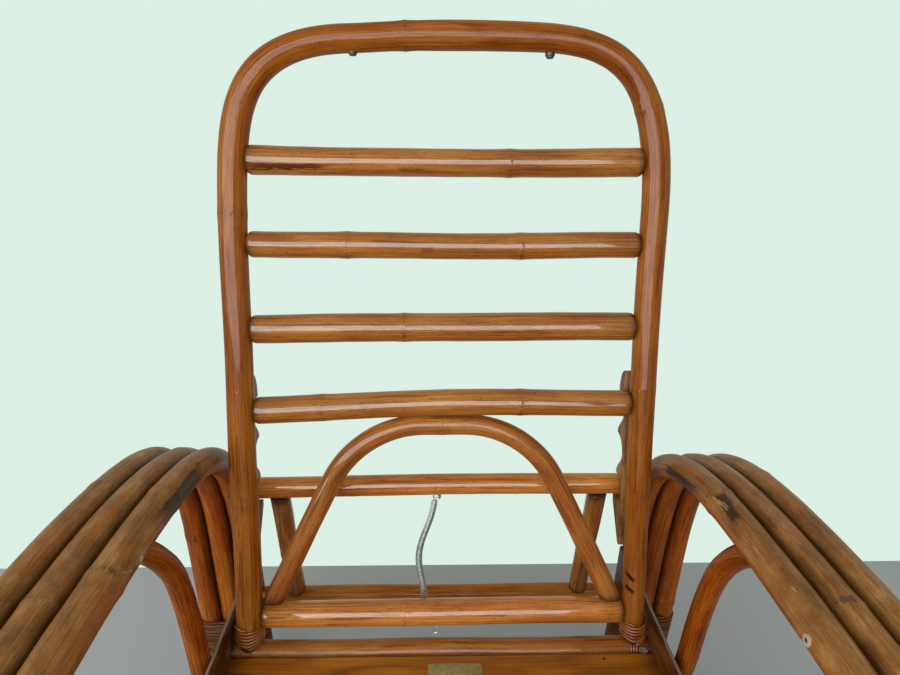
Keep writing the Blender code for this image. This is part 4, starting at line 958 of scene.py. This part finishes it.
def build_braces():
    """A quarter arch a side, from the side rail up under the inner pole."""
    up = np.array([-math.sin(BRACE_RAKE), math.cos(BRACE_RAKE)]) * BRACE_RISE
    for seed, (side, way) in enumerate(SIDES, start=11):
        touch = ARM_RADIUS * ARM_THICKNESS[side] + BRACE_RADIUS + FIT
        rising = REAR_HALF[side][: int(REAR_HALF[side][:, 0].argmax()) + 1]
        bow, head_y = BRACE_BOW[side], BRACE_HEAD_Y[side]
        under = math.sqrt(touch ** 2 - (BRACE_X + bow + BRACE_TUCK[side] - ARM_X[side][0]) ** 2)
        head = np.array([head_y, np.interp(head_y, rising[:, 0], rising[:, 1]) - under])
        arch = bezier(BRACE_FOOT, BRACE_FOOT + up, head + [BRACE_REACH, 0.0], head)
        bowed = bow * eased((arch[:, 1] - RAIL_BOTTOM) / (RAIL_TOP - RAIL_BOTTOM))
        tucked = BRACE_TUCK[side] * eased((arch[:, 1] - BRACE_TUCK_FROM) / (head[1] - BRACE_TUCK_FROM))
        x = way * (BRACE_X + bowed + tucked)
        pole(f"{side}_brace_pole", np.column_stack([x, arch]), BRACE_RADIUS, (way, 0, 0), brace_varnish,
             "frame", f"{side}_arm_brace", (((x[-1], *BRACE_KNOT), 0.35),), cuts=(level_cut, None), seed=seed)


# Seat

def rail_wear_and_highlight(rings):
    """The outer part of the side rails' top faces is painted pale: wood rubbed raw, and a painted highlight
    on the lit top edge.
    """
    high = np.clip((rings[:, :, 2] - (RAIL_TOP - 0.0030)) / 0.0022, 0.0, 1.0)
    outer = SEAT_HALF + RAIL_THICKNESS - RAIL_PALE_EDGE
    return high * np.clip((np.abs(rings[:, :, 0]) - outer) / 0.0012, 0.0, 1.0)


def follow_legs(rings):
    """Lean a rail's two ends to follow the legs they stop at."""
    y, z = rings[:, :, 1], rings[:, :, 2]
    legs = FRONT_HALF["right"], REAR_HALF["right"]
    front, rear = (leg_y(leg, RAIL_TOP) for leg in legs)
    share = (y - front) / (rear - front)
    lean_front = np.minimum(leg_y(legs[0], z) - front, 0.0) * np.clip(1.0 - share / RAIL_END, 0.0, 1.0)
    lean_rear = np.maximum(leg_y(legs[1], z) - rear, 0.0) * np.clip(1.0 - (1.0 - share) / RAIL_END, 0.0, 1.0)
    lean_in = np.clip((y - RAIL_LEAN_FROM) / RAIL_LEAN_OVER, 0.0, 1.0) * RAIL_LEAN * -np.sign(rings[:, :, 0])
    return rings + np.stack([lean_in, lean_front + lean_rear, 0.0 * y], axis=2)


def edge_wear(rings):
    """Board edges are worn a little."""
    low, high = rings.min(axis=(0, 1)), rings.max(axis=(0, 1))
    away = np.minimum(rings - low, high - rings)
    return np.clip(1.0 - np.sort(away, axis=2)[:, :, 1] / 0.0018, 0.0, 1.0) * 0.5


def deck_grime(rings):
    """The deck is darkened along its ends, in the corners by the side rails: painted shade with dirt."""
    return np.exp(-((DECK_HALF - np.abs(rings[:, :, 0])) / 0.016) ** 2) * 0.9


def build_seat():
    """Side rails, strips, cross rails, deck boards and the blank plate."""
    front, rear = leg_y(FRONT_HALF["right"], RAIL_TOP), leg_y(REAR_HALF["right"], RAIL_TOP)
    middle_z = (RAIL_TOP + RAIL_BOTTOM) / 2
    for side, way in SIDES:
        x = way * (SEAT_HALF + RAIL_THICKNESS / 2)
        # The rails' top edges are painted pale: worn wood with a painted highlight.
        slab(f"{side}_rail_board", np.array([[x, front, middle_z], [x, rear, middle_z]]), (0, 0, 1),
             (RAIL_TOP - RAIL_BOTTOM) / 2, RAIL_THICKNESS / 2, RAIL_CORNER, rail_board, "frame",
             f"{side}_side_rail", seed=way + 2, wear=rail_wear_and_highlight, bend=follow_legs)
        x = way * (SEAT_HALF - FIT - CLEAT / 2)
        z = DECK_TOP - DECK_THICKNESS - FIT - CLEAT / 2
        slab(f"{side}_deck_strip", np.array([[x, CLEAT_FRONT, z], [x, DECK_REAR, z]]), (1, 0, 0), CLEAT / 2,
             CLEAT / 2, CLEAT_CORNER, rail_board, "frame", f"{side}_seat_cleat", seed=way + 5, wear=edge_wear)
    half = SEAT_HALF - FIT
    for seed, (name, (radius, y, z)) in enumerate((("hinge", HINGE_RAIL), ("front", FRONT_RAIL)), start=21):
        pole(f"seat_{name}_pole", np.array([[-half, y, z], [half, y, z]]), radius, (0, 0, 1), hinge_varnish,
             "frame", f"seat_{name}_rail", (((0.19, y, z), 0.3),), ease=0.001, seed=seed)
    for index in range(DECK_BOARDS):
        high = DECK_REAR - index * DECK_STEP
        low = high - DECK_STEP + DECK_GAP
        y, z = (high + low) / 2, DECK_TOP - DECK_THICKNESS / 2
        # Each deck board carries painted shade with dirt along its ends.
        slab(f"deck_board_{index + 1}", np.array([[-DECK_HALF, y, z], [DECK_HALF, y, z]]), (0, 1, 0),
             (high - low) / 2, DECK_THICKNESS / 2, DECK_CORNER, deck_board, "frame",
             f"seat_board_{index + 1}", seed=index + 8, wear=edge_wear, grime=deck_grime)
    x, y, z = PLATE_PLACE
    slab("blank_plate", np.array([[x, y, z], [x, y, z + PLATE_THICKNESS]]), (1, 0, 0), *PLATE_HALF,
         PLATE_CORNER, plate_brass, "frame", "label_plate", ease=0.00025, wear=edge_wear)


# Back

RUNG_BITE = 0.0008
RUNG_EASE = 0.0075
HOOP_KNOTS = ((-0.0504, 0.811, 1.0), (0.2575, 0.7305, 0.7), (-UPRIGHT_X, 0.2185, 0.8),
              (-UPRIGHT_X, 0.5975, 0.7), (UPRIGHT_X, 0.375, 0.3))
PEG_PROFILE = ((0.0, 0.0058), (0.0030, 0.0060), (0.0038, 0.0058), (0.0042, 0.0047), (0.0056, 0.0046),
               (0.0064, 0.0040), (0.0068, 0.0024))
PEG_SINK = 0.001
NAIL_PROFILE = ((-0.0001, 0.0006), (0.0, 0.0012), (0.0003, 0.0016), (0.0022, 0.0018), (0.040, 0.0016),
                (0.042, 0.0006))


def swell(rung):
    """How much thicker a rung grows towards its two ends."""
    ends = np.array([0.0, 0.25, 0.75, 1.0]) * 2 * rung.half
    return lambda run: np.interp(run, ends, [rung.left_swell, 0.0, 0.0, rung.right_swell])


def upright(way, along):
    """Where the left or right upright is at some heights along the back, and how thick."""
    side = (HOOP[:, 0] * way > 0) & (HOOP[:, 1] < HOOP_SHOULDER)
    rows = np.column_stack([HOOP, hoop_thickness(run_along(HOOP))])[side][:: int(way)]
    return np.interp(along, rows[:, 1], rows[:, 0]), np.interp(along, rows[:, 1], rows[:, 2])


def rung_ends(along):
    """How far to the left and right a rung runs to end a little inside the uprights."""
    left, right = upright(-1, along), upright(1, along)
    return left[0] + left[1] - RUNG_BITE, right[0] - right[1] + RUNG_BITE


def build_back():
    """The hoop, rungs, arch and pegs."""
    knots = [(on_back(x, 0.0, along), strength) for x, along, strength in HOOP_KNOTS]
    pole("hoop_pole", on_back(HOOP[:, 0], 0.0, HOOP[:, 1]), 0.0, BACK_BEHIND, hoop_varnish, "backrest",
         "back_hoop", knots, ease=0.0015, cuts=(saddle_cut, saddle_cut), seed=31, dirty_end=0.02,
         taper=hoop_thickness)
    for seed, rung in enumerate(RUNGS, start=41):
        x = np.linspace(*rung_ends(rung.along), 200)
        rise = rung.along + rung.bow * (1.0 + np.cos(math.pi * x / rung.half)) / 2
        rise = rise + np.interp(x, [-rung.half, 0.0, rung.half], [rung.left_rise, 0.0, rung.right_rise])
        knots = [(on_back(place, 0.0, rung.along), strength) for place, strength in rung.knots]
        # The lower rung takes the lighter varnish, painted light for its brighter sheen.
        look = sheen_lit_varnish if rung.name == "back_lower_rung" else rung_varnish
        pole(rung.name + "_pole", on_back(x, 0.0, rise), rung.radius, BACK_ALONG, look, "backrest",
             rung.name, knots, ease=RUNG_EASE, seed=seed, dirty_end=0.009, taper=swell(rung))
    foot_x, foot = ARCH_FOOT
    sweep = np.linspace(0.0, math.pi / 2 - ARCH_SLANT, 200)
    middle = foot_x - math.tan(ARCH_SLANT) * (ARCH_TOP - foot)
    middle = middle - ARCH_CORNER * math.tan((math.pi / 2 - ARCH_SLANT) / 2)
    drop = ARCH_CORNER * (1.0 - np.cos(sweep))
    bend = np.column_stack([middle + ARCH_CORNER * np.sin(sweep), ARCH_TOP - drop])
    half = np.concatenate([[[0.0, ARCH_TOP]], bend, [[foot_x, foot]]])
    line = np.concatenate([half[::-1] * [-1.0, 1.0], half[1:]])
    pole("arch_pole", on_back(line[:, 0], 0.0, line[:, 1]), ARCH_RADIUS, BACK_BEHIND, arch_varnish,
         "backrest", "back_arch", ((on_back(-0.002, 0.0, ARCH_TOP), 0.6),), ease=0.001,
         cuts=(square_cut, square_cut), seed=51)
    for side, x in zip(("left", "right"), PEG_X):
        top = HOOP_LENGTH - HOOP_RADIUS + PEG_SINK
        turned(f"{side}_loop_peg", on_back(x, 0.0, top), -BACK_ALONG, PEG_PROFILE, peg_wood, "backrest",
               f"{side}_cushion_peg", seed=x * 100)


def rack_rows():
    """(behind, along) points of a rack's rear edge from its crown down its teeth to its foot."""
    last_tip = FIRST_TOOTH + 2 * RACK_PITCH
    deep = RACK_TIP - RACK_NOTCH
    ledge = BAR_ALONG - BAR_RADIUS - FIT
    sweep = np.linspace(math.radians(84.0), 0.0, 20)
    rows = [np.column_stack([RACK_FRONT + (RACK_TIP - RACK_FRONT) * np.cos(sweep) ** 0.7,
                             last_tip + RACK_CROWN * np.sin(sweep) ** 1.1])]
    under = np.linspace(0.0, math.pi / 2, 16)[1:]
    share = np.linspace(0.0, 1.0, 22)[1:]
    for tooth in (2, 1, 0):
        tip = FIRST_TOOTH + tooth * RACK_PITCH
        rows.append(np.column_stack([RACK_TIP - deep * np.sin(under), tip - deep * (1.0 - np.cos(under))]))
        if tooth:
            rows.append(np.column_stack([RACK_NOTCH + deep * (1.0 - np.cos(math.pi * share)) / 2,
                                         tip - deep + (deep - RACK_PITCH) * share]))
    rows.append(np.column_stack([np.linspace(RACK_NOTCH, RACK_LEDGE, 14), np.full(14, ledge)]))
    rows.append(np.column_stack([np.full(4, RACK_LEDGE), ledge - RACK_LIP * np.linspace(0.25, 1.0, 4)]))
    down = np.linspace(0.0, 1.0, 16)[1:]
    tail = np.array([RACK_FRONT + RACK_LIP, RACK_BOTTOM])
    rows.append([RACK_LEDGE, ledge - RACK_LIP] + down[:, None] * (tail - [RACK_LEDGE, ledge - RACK_LIP]))
    return np.concatenate(rows)


def build_racks():
    """Toothed boards: at each row a rectangle with round corners, from the straight front to the rear edge,
    and the filled nail heads in front of them."""
    rear = rack_rows()
    order = np.arange(len(rear)) * 0.00005
    front_along = np.minimum.accumulate(rear[:, 1] + order) - order
    front = np.column_stack([np.full(len(rear), RACK_FRONT), front_along])
    length = np.linalg.norm(rear - front, axis=1)
    rearward = (rear - front) / length[:, None]
    one, two = rounded_section(length / 2, np.full(len(rear), RACK_HALF), np.minimum(0.0016, length * 0.45))
    flat = front[:, None] + (one + length[:, None] / 2)[:, :, None] * rearward[:, None]
    edge = np.clip(1.0 - np.minimum(one + length[:, None] / 2, length[:, None] / 2 - one) / 0.002, 0.0, 1.0)
    for (side, way), x, drop, seed in zip(SIDES, RACK_X, RACK_DROP, (61, 62)):
        rings = on_back(x + two, flat[:, :, 0], flat[:, :, 1] - drop)
        grain = np.stack([two, flat[:, :, 0], flat[:, :, 1]], axis=2) + seed
        make_piece(f"{side}_rack_board", rings[::-1], grain[::-1], rack_board, "backrest", f"{side}_rack",
                   wear=edge[::-1] * 0.45)
        for number, place in enumerate(NAIL_PLACES, start=1):
            middle, thick = upright(way, place)
            ahead = math.sqrt(thick ** 2 - (x - middle) ** 2)
            turned(f"{side}_rack_nail_{number}", on_back(x, -ahead, place), BACK_BEHIND, NAIL_PROFILE,
                   nail_filler, "backrest", f"{side}_rack_screw_{number}", seed=number)


# Prop

def bar_drop(x):
    """How far the bent bar hangs below its straight line towards its left end."""
    return BAR_LEFT_DROP * np.clip(-x / BAR_HALF, 0.0, 1.0)


def build_prop():
    """The bar that stands in the racks, its legs and the axle."""
    x = np.linspace(-BAR_HALF, BAR_HALF, 60)
    # The bar takes the same lighter varnish, painted light for its sheen.
    pole("prop_bar_pole", on_prop(x, 0.0, PROP_LENGTH - bar_drop(x)), BAR_RADIUS, PROP_UP, sheen_lit_varnish,
         "prop", "prop_bar", ((on_prop(-0.13, 0.0, PROP_LENGTH), 0.3),), ease=0.003, seed=71)
    for side, x, seed in zip(("left", "right"), LEG_X, (72, 73)):
        ends = np.array([BAR_RADIUS + FIT, PROP_LENGTH - bar_drop(x) - BAR_RADIUS - FIT])
        pole(f"{side}_prop_pole", on_prop(x, 0.0, ends), LEG_RADIUS, ACROSS, prop_varnish, "prop",
             f"{side}_prop_leg", ((on_prop(x, 0.0, 0.11), 0.3),), ease=0.001, seed=seed)
    reach = AXLE_HALF + JOURNAL_LENGTH
    shoulder = np.array([0.0005, 0.001, 0.003])
    inner = np.concatenate([-AXLE_HALF + shoulder, AXLE_HALF - shoulder[::-1]])
    x = np.concatenate([[-reach], inner, [reach]])
    thick = np.array([JOURNAL_RADIUS, JOURNAL_RADIUS, 0.0125, BAR_RADIUS])
    thick = np.concatenate([thick, thick[::-1]])
    pole("prop_axle_pole", on_prop(x, 0.0, 0.0), 0.0, PROP_UP, axle_varnish, "prop", "prop_axle",
         ((on_prop(0.12, 0.0, 0.0), 0.3),), ease=0.0008, seed=74,
         taper=lambda run: np.interp(run - reach, x, thick))


# Bindings, straps and spring

FOOT_TURNS = 22
FOOT_STEP = 0.0066
FOOT_START = 0.016
FOOT_CANE_HALF = (0.0025, 0.0014)
FOOT_UNEVEN = 0.0006
WRAP_TURNS = 6
WRAP_STEP = 0.0043
WRAP_START = 0.0185
WRAP_SPREAD = (0.0187, 0.0165)
WRAP_DROOP = 0.0034
WRAP_CANE_HALF = (0.00195, 0.0015)
STRAP_TURNS = 3
STRAP_STEP = 0.0038
STRAP_CANE_HALF = (0.0018, 0.0012)
STRAP_GAP = 0.0007


def build_foot_bindings():
    """Cane wound close round the three poles at each foot: loops with round ends that climb the leg."""
    turns = np.linspace(0.0, FOOT_TURNS, FOOT_TURNS * 56 + 1)
    climb = FOOT_START + FOOT_STEP * turns + FOOT_UNEVEN * np.sin(turns * 2.1)
    for side, way in SIDES:
        radius = ARM_RADIUS * ARM_THICKNESS[side] + FOOT_CANE_HALF[1] + 0.0002
        pitch = ARM_X[side][1] - ARM_X[side][0]
        straight, bow = 2 * pitch, math.pi * radius
        spot = (turns % 1.0) * 2 * (straight + bow)
        stretch = [spot < bow, spot < bow + straight, spot < 2 * bow + straight]
        arc = np.select(stretch, [spot / radius, math.pi, math.pi + (spot - bow - straight) / radius], TURN)
        arc = arc - math.pi / 2
        shift = np.select(stretch, [pitch, pitch - (spot - bow), -pitch], spot - 2 * bow - straight - pitch)
        across, out = shift + radius * np.cos(arc), radius * np.sin(arc)
        for end, half, sense in (("front", FRONT_HALF[side], -1.0), ("rear", REAR_HALF[side], 1.0)):
            leg = resampled(half[::-1], climb)
            ahead = unit(np.gradient(leg, axis=0))
            square = sense * np.column_stack([ahead[:, 1], -ahead[:, 0]])
            path = np.column_stack([way * ARM_X[side][1] + across, leg + out[:, None] * square])
            outward = np.column_stack([np.cos(arc), np.sin(arc)[:, None] * square])
            ribbon(f"{end}_{side}_foot_wrap", path, outward, *FOOT_CANE_HALF, foot_cane, "frame",
                   f"{end}_{side}_foot_binding", seed=way + 3 * sense, sides=8)


def build_back_bindings():
    """Glossy cane wound round each upright's foot, and the strands that strap it to the hinge rail."""
    t = np.linspace(0.0, WRAP_TURNS, WRAP_TURNS * 40 + 1)
    angle = TURN * t
    droop = WRAP_DROOP * np.cos(2.0 * angle) * (1.0 - 0.7 * t / WRAP_TURNS)
    along = WRAP_START + WRAP_STEP * t - droop
    strap_t = np.linspace(0.0, STRAP_TURNS, STRAP_TURNS * 36 + 1)
    turn = TURN * strap_t
    around = HINGE_RAIL[0] + STRAP_GAP + STRAP_CANE_HALF[1]
    for (side, way), spread in zip(SIDES, WRAP_SPREAD):
        path = on_back(way * UPRIGHT_X + spread * np.sin(angle), -spread * np.cos(angle), along)
        outward = on_back(np.sin(angle), -np.cos(angle), 0.0) - HINGE
        ribbon(f"{side}_upright_wrap", path, outward, *WRAP_CANE_HALF, back_cane, "backrest",
               f"{side}_back_binding", seed=way + 7, square=2.2)
        outward = np.column_stack([np.zeros(len(turn)), -np.cos(turn), np.sin(turn)])
        path = HINGE + around * outward
        path[:, 0] = way * UPRIGHT_X + STRAP_STEP * (strap_t - STRAP_TURNS / 2)
        ribbon(f"{side}_strap_wrap", path, outward, *STRAP_CANE_HALF, back_cane, "backrest",
               f"{side}_hinge_strap", seed=way + 9, square=2.2)


TUFT_STRANDS = 30
TUFT_PLACE = np.array([0.2725, 0.2200, 0.2625])
TUFT_SPREAD = np.array([0.0030, 0.0015, 0.0040])
TUFT_REACH = np.array([0.0060, -0.004, 0.001])


def build_frayed_end():
    """The frayed end of the right strap: a tuft of short dry strands beside it."""
    pick = np.random.default_rng(7)
    t = np.linspace(0.0, 1.0, 10)[:, None]
    for index in range(TUFT_STRANDS):
        root = TUFT_PLACE + pick.uniform(-1.0, 1.0, 3) * TUFT_SPREAD
        reach = TUFT_REACH * pick.uniform(0.4, 1.0)
        reach = reach + pick.uniform(-1.0, 1.0, 3) * [0.002, 0.002, 0.004]
        sag = pick.uniform(-1.0, 1.0, 3) * [0.002, 0.003, 0.004]
        path = root + reach * t + sag * (t * (1.0 - t)) * 2.0
        ribbon(f"frayed_strand_{index + 1}", path, (0.0, -1.0, 0.3), 0.0007, 0.0004, frayed_cane, "backrest",
               seed=index, sides=6)


def wire(name, path, radius, body, node, side_way=(0, 1, 0), sides=10):
    """Round steel wire: a circle carried along a path."""
    return ribbon(name, path, side_way, radius, radius, wire_steel, body, node, sides=sides, square=2.0)


def hook_line(place, x, height, drop, leg, loop=0.0028):
    """A wire hook's path: down, round a corner, and along a short leg to the left."""
    low = height - drop
    down = np.column_stack([np.full(8, x), np.linspace(height + 0.006, low + loop, 8)])
    t = np.linspace(0.0, math.pi / 2, 9)[1:]
    corner = np.column_stack([x - loop * (1.0 - np.cos(t)), low + loop - loop * np.sin(t)])
    along = np.column_stack([np.linspace(x - loop, x - leg, 6)[1:], np.full(5, low)])
    line = np.concatenate([down, corner, along])
    return place(line[:, 0], 0.0, line[:, 1])


SPRING_TURNS = 72
SPRING_RADIUS = 0.0042
SPRING_WIRE = 0.0008
SPRING_BOW = 0.0140
SPRING_MEETS = 0.8
UPPER_HOOK_WIRE = 0.0016
LOWER_HOOK_WIRE = 0.0014
EYE_RADIUS = 0.0040


def build_spring():
    """A slack close-wound spring from the prop bar down to the lower rung, with its two hooks. The coil's
    point at share t is its middle line plus a circle that turns about it, more slowly near the ends. It is
    made in two lengths that meet near its foot."""
    upper = PROP_LENGTH - BAR_RADIUS - FIT
    rung = RUNGS[4]
    lower = rung.along - rung.radius - FIT
    wire("upper_hook_wire", hook_line(on_prop, -0.004, upper, 0.015, 0.009), UPPER_HOOK_WIRE, "prop",
         "upper_spring_hook")
    wire("lower_hook_wire", hook_line(on_back, -0.008, lower, 0.014, 0.005, 0.0025), LOWER_HOOK_WIRE,
         "backrest", "lower_spring_hook")
    t = np.linspace(0.0, 1.7 * math.pi, 24)
    eye = on_prop(-0.0095 + EYE_RADIUS * np.sin(t), 0.0, upper - 0.0108 - EYE_RADIUS * np.cos(t))
    top = on_prop(-0.0115, 0.0, upper - 0.017)
    foot = on_back(-0.027, rung.radius + 0.012, rung.along)
    t = np.linspace(0.0, 1.0, SPRING_TURNS * 14 + 1)[:, None]
    depth = np.cross(unit(foot - top), ACROSS)
    middle = top * (1.0 - t) + foot * t - SPRING_BOW * np.sin(math.pi * t ** 1.12) ** 2 * ACROSS
    size = SPRING_RADIUS * np.clip(np.minimum(t, 1.0 - t) * SPRING_TURNS, 0.0, 1.0)
    turn = TURN * SPRING_TURNS * (t - 0.30 / TURN * np.sin(TURN * t))
    coil = middle + size * (np.cos(turn) * ACROSS + np.sin(turn) * depth)
    low = on_back(-0.0225, rung.radius * 0.9, lower - 0.016)
    tip = on_back(-0.010, 0.0021, lower - 0.0145)
    tail = bezier(foot, on_back(-0.0265, rung.radius + 0.011, lower + 0.004), low, tip, 28)
    path = np.concatenate([eye, coil, tail[1:]])
    meets = len(eye) + int(len(coil) * SPRING_MEETS)
    lengths = (("upper", path[: meets + 1], "prop", eye[0]), ("lower", path[meets:], "backrest", tip))
    for name, part, body, start in lengths:
        made = wire(f"slack_spring_{name}", part, SPRING_WIRE, None, "prop_spring", (0.3, 1, 0.2), 6)
        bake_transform(made)


PLUG_PLACE = (0.2911, -0.0688, 0.5643)
PLUG_FACES = (-1.0, 0.0, 0.06)
PLUG_PROFILE = ((-0.004, 0.0055), (0.0006, 0.0055), (0.0010, 0.0048), (0.0011, 0.0022), (0.0008, 0.0016),
                (0.0004, 0.0006))
PLUG_DIRT = (0.3, 0.3, 0.0, 0.1, 1.0, 1.0)


def build_plug():
    """The pale plug in the right inner arm pole, with its dark nail hole."""
    turned("arm_plug", PLUG_PLACE, PLUG_FACES, PLUG_PROFILE, plug_wood, "frame", grime=PLUG_DIRT)


build_arms()
build_braces()
build_seat()
build_back()
build_racks()
build_prop()
build_foot_bindings()
build_back_bindings()
build_frayed_end()
build_spring()
build_plug()


# Stage, light and camera

FLOOR_COLOUR = (0.45, 0.485, 0.475, 1.0)
FLOOR_EDGE = 0.723
BACKDROP = (0.716, 0.871, 0.783, 1.0)
ROOM_LIGHT = (0.45, 0.455, 0.45, 1.0)
WINDOW_PLACE = (-1.0, -1.75, 1.50)
WINDOW_TURN = math.radians(-25.0)
WINDOW_SIZE = (4.4, 1.70)
WINDOW_LIGHT = 54.0
WINDOW_GLEAM = 275.0
WINDOW_GAP = 0.1
WINDOW_COLOUR = {"diffuse": (1.0, 1.0, 1.0), "glossy": (0.86, 0.98, 1.0)}


def build_stage():
    """A plain pale floor that stops where the backdrop starts."""
    mesh = bpy.data.meshes.new("floor")
    mesh.from_pydata([(-4.0, -3.0, 0.0), (4.0, -3.0, 0.0), (4.0, FLOOR_EDGE, 0.0), (-4.0, FLOOR_EDGE, 0.0)],
                     [], [(0, 1, 2, 3)])
    floor = bpy.data.objects.new("floor", mesh)
    bpy.context.scene.collection.objects.link(floor)
    paint = bpy.data.materials.new("floor_paint")
    paint.use_nodes = True
    shader = paint.node_tree.nodes["Principled BSDF"]
    shader.inputs["Base Color"].default_value = FLOOR_COLOUR
    shader.inputs["Roughness"].default_value = 0.8
    mesh.materials.append(paint)


def build_light():
    """Even white light from all round, a pale green backdrop to the eye, and a wide window in front, as one
    lamp for its light and one for its gleam."""
    world = bpy.data.worlds.new("studio")
    bpy.context.scene.world = world
    world.use_nodes = True
    nodes, links = world.node_tree.nodes, world.node_tree.links
    rays = nodes.new("ShaderNodeLightPath")
    seen = rays.outputs["Is Camera Ray"]
    for ray in ("Is Glossy Ray", "Is Transmission Ray"):
        either = nodes.new("ShaderNodeMath")
        either.operation = "MAXIMUM"
        links.new(seen, either.inputs[0])
        links.new(rays.outputs[ray], either.inputs[1])
        seen = either.outputs[0]
    colour = nodes.new("ShaderNodeMix")
    colour.data_type = "RGBA"
    links.new(seen, colour.inputs[0])
    colour.inputs[6].default_value = ROOM_LIGHT
    colour.inputs[7].default_value = BACKDROP
    links.new(colour.outputs[2], nodes["Background"].inputs["Color"])
    lamps = (("window_light", WINDOW_LIGHT, "diffuse"), ("window_gleam", WINDOW_GLEAM, "glossy"))
    for name, power, only in lamps:
        data = bpy.data.lights.new(name, "AREA")
        data.shape = "RECTANGLE"
        data.size, data.size_y = WINDOW_SIZE
        data.energy = power
        data.color = WINDOW_COLOUR[only]
        lamp = bpy.data.objects.new(name, data)
        bpy.context.scene.collection.objects.link(lamp)
        x, y, z = WINDOW_PLACE
        lamp.location = x, y - WINDOW_GAP * (only == "diffuse"), z
        lamp.rotation_euler = (math.pi / 2, 0.0, WINDOW_TURN)
        lamp.visible_camera = False
        lamp.visible_diffuse = only == "diffuse"
        lamp.visible_glossy = only == "glossy"


def build_camera():
    """A wide lens about a metre up, just ahead of the seat and a little to its left."""
    data = bpy.data.cameras.new("camera")
    data.sensor_width = 36.0
    data.lens = CAMERA_LENS
    data.clip_start = 0.02
    camera = bpy.data.objects.new("camera", data)
    bpy.context.scene.collection.objects.link(camera)
    turn = Matrix.Rotation(-CAMERA_RIGHT, 4, "Z") @ Matrix.Rotation(math.pi / 2 - CAMERA_DOWN, 4, "X")
    turn = turn @ Matrix.Rotation(-CAMERA_ROLL, 4, "Z")
    camera.matrix_world = Matrix.Translation(CAMERA_PLACE) @ turn
    bpy.context.scene.camera = camera


build_stage()
build_light()
build_camera()
bpy.context.scene.view_settings.view_transform = "Standard"
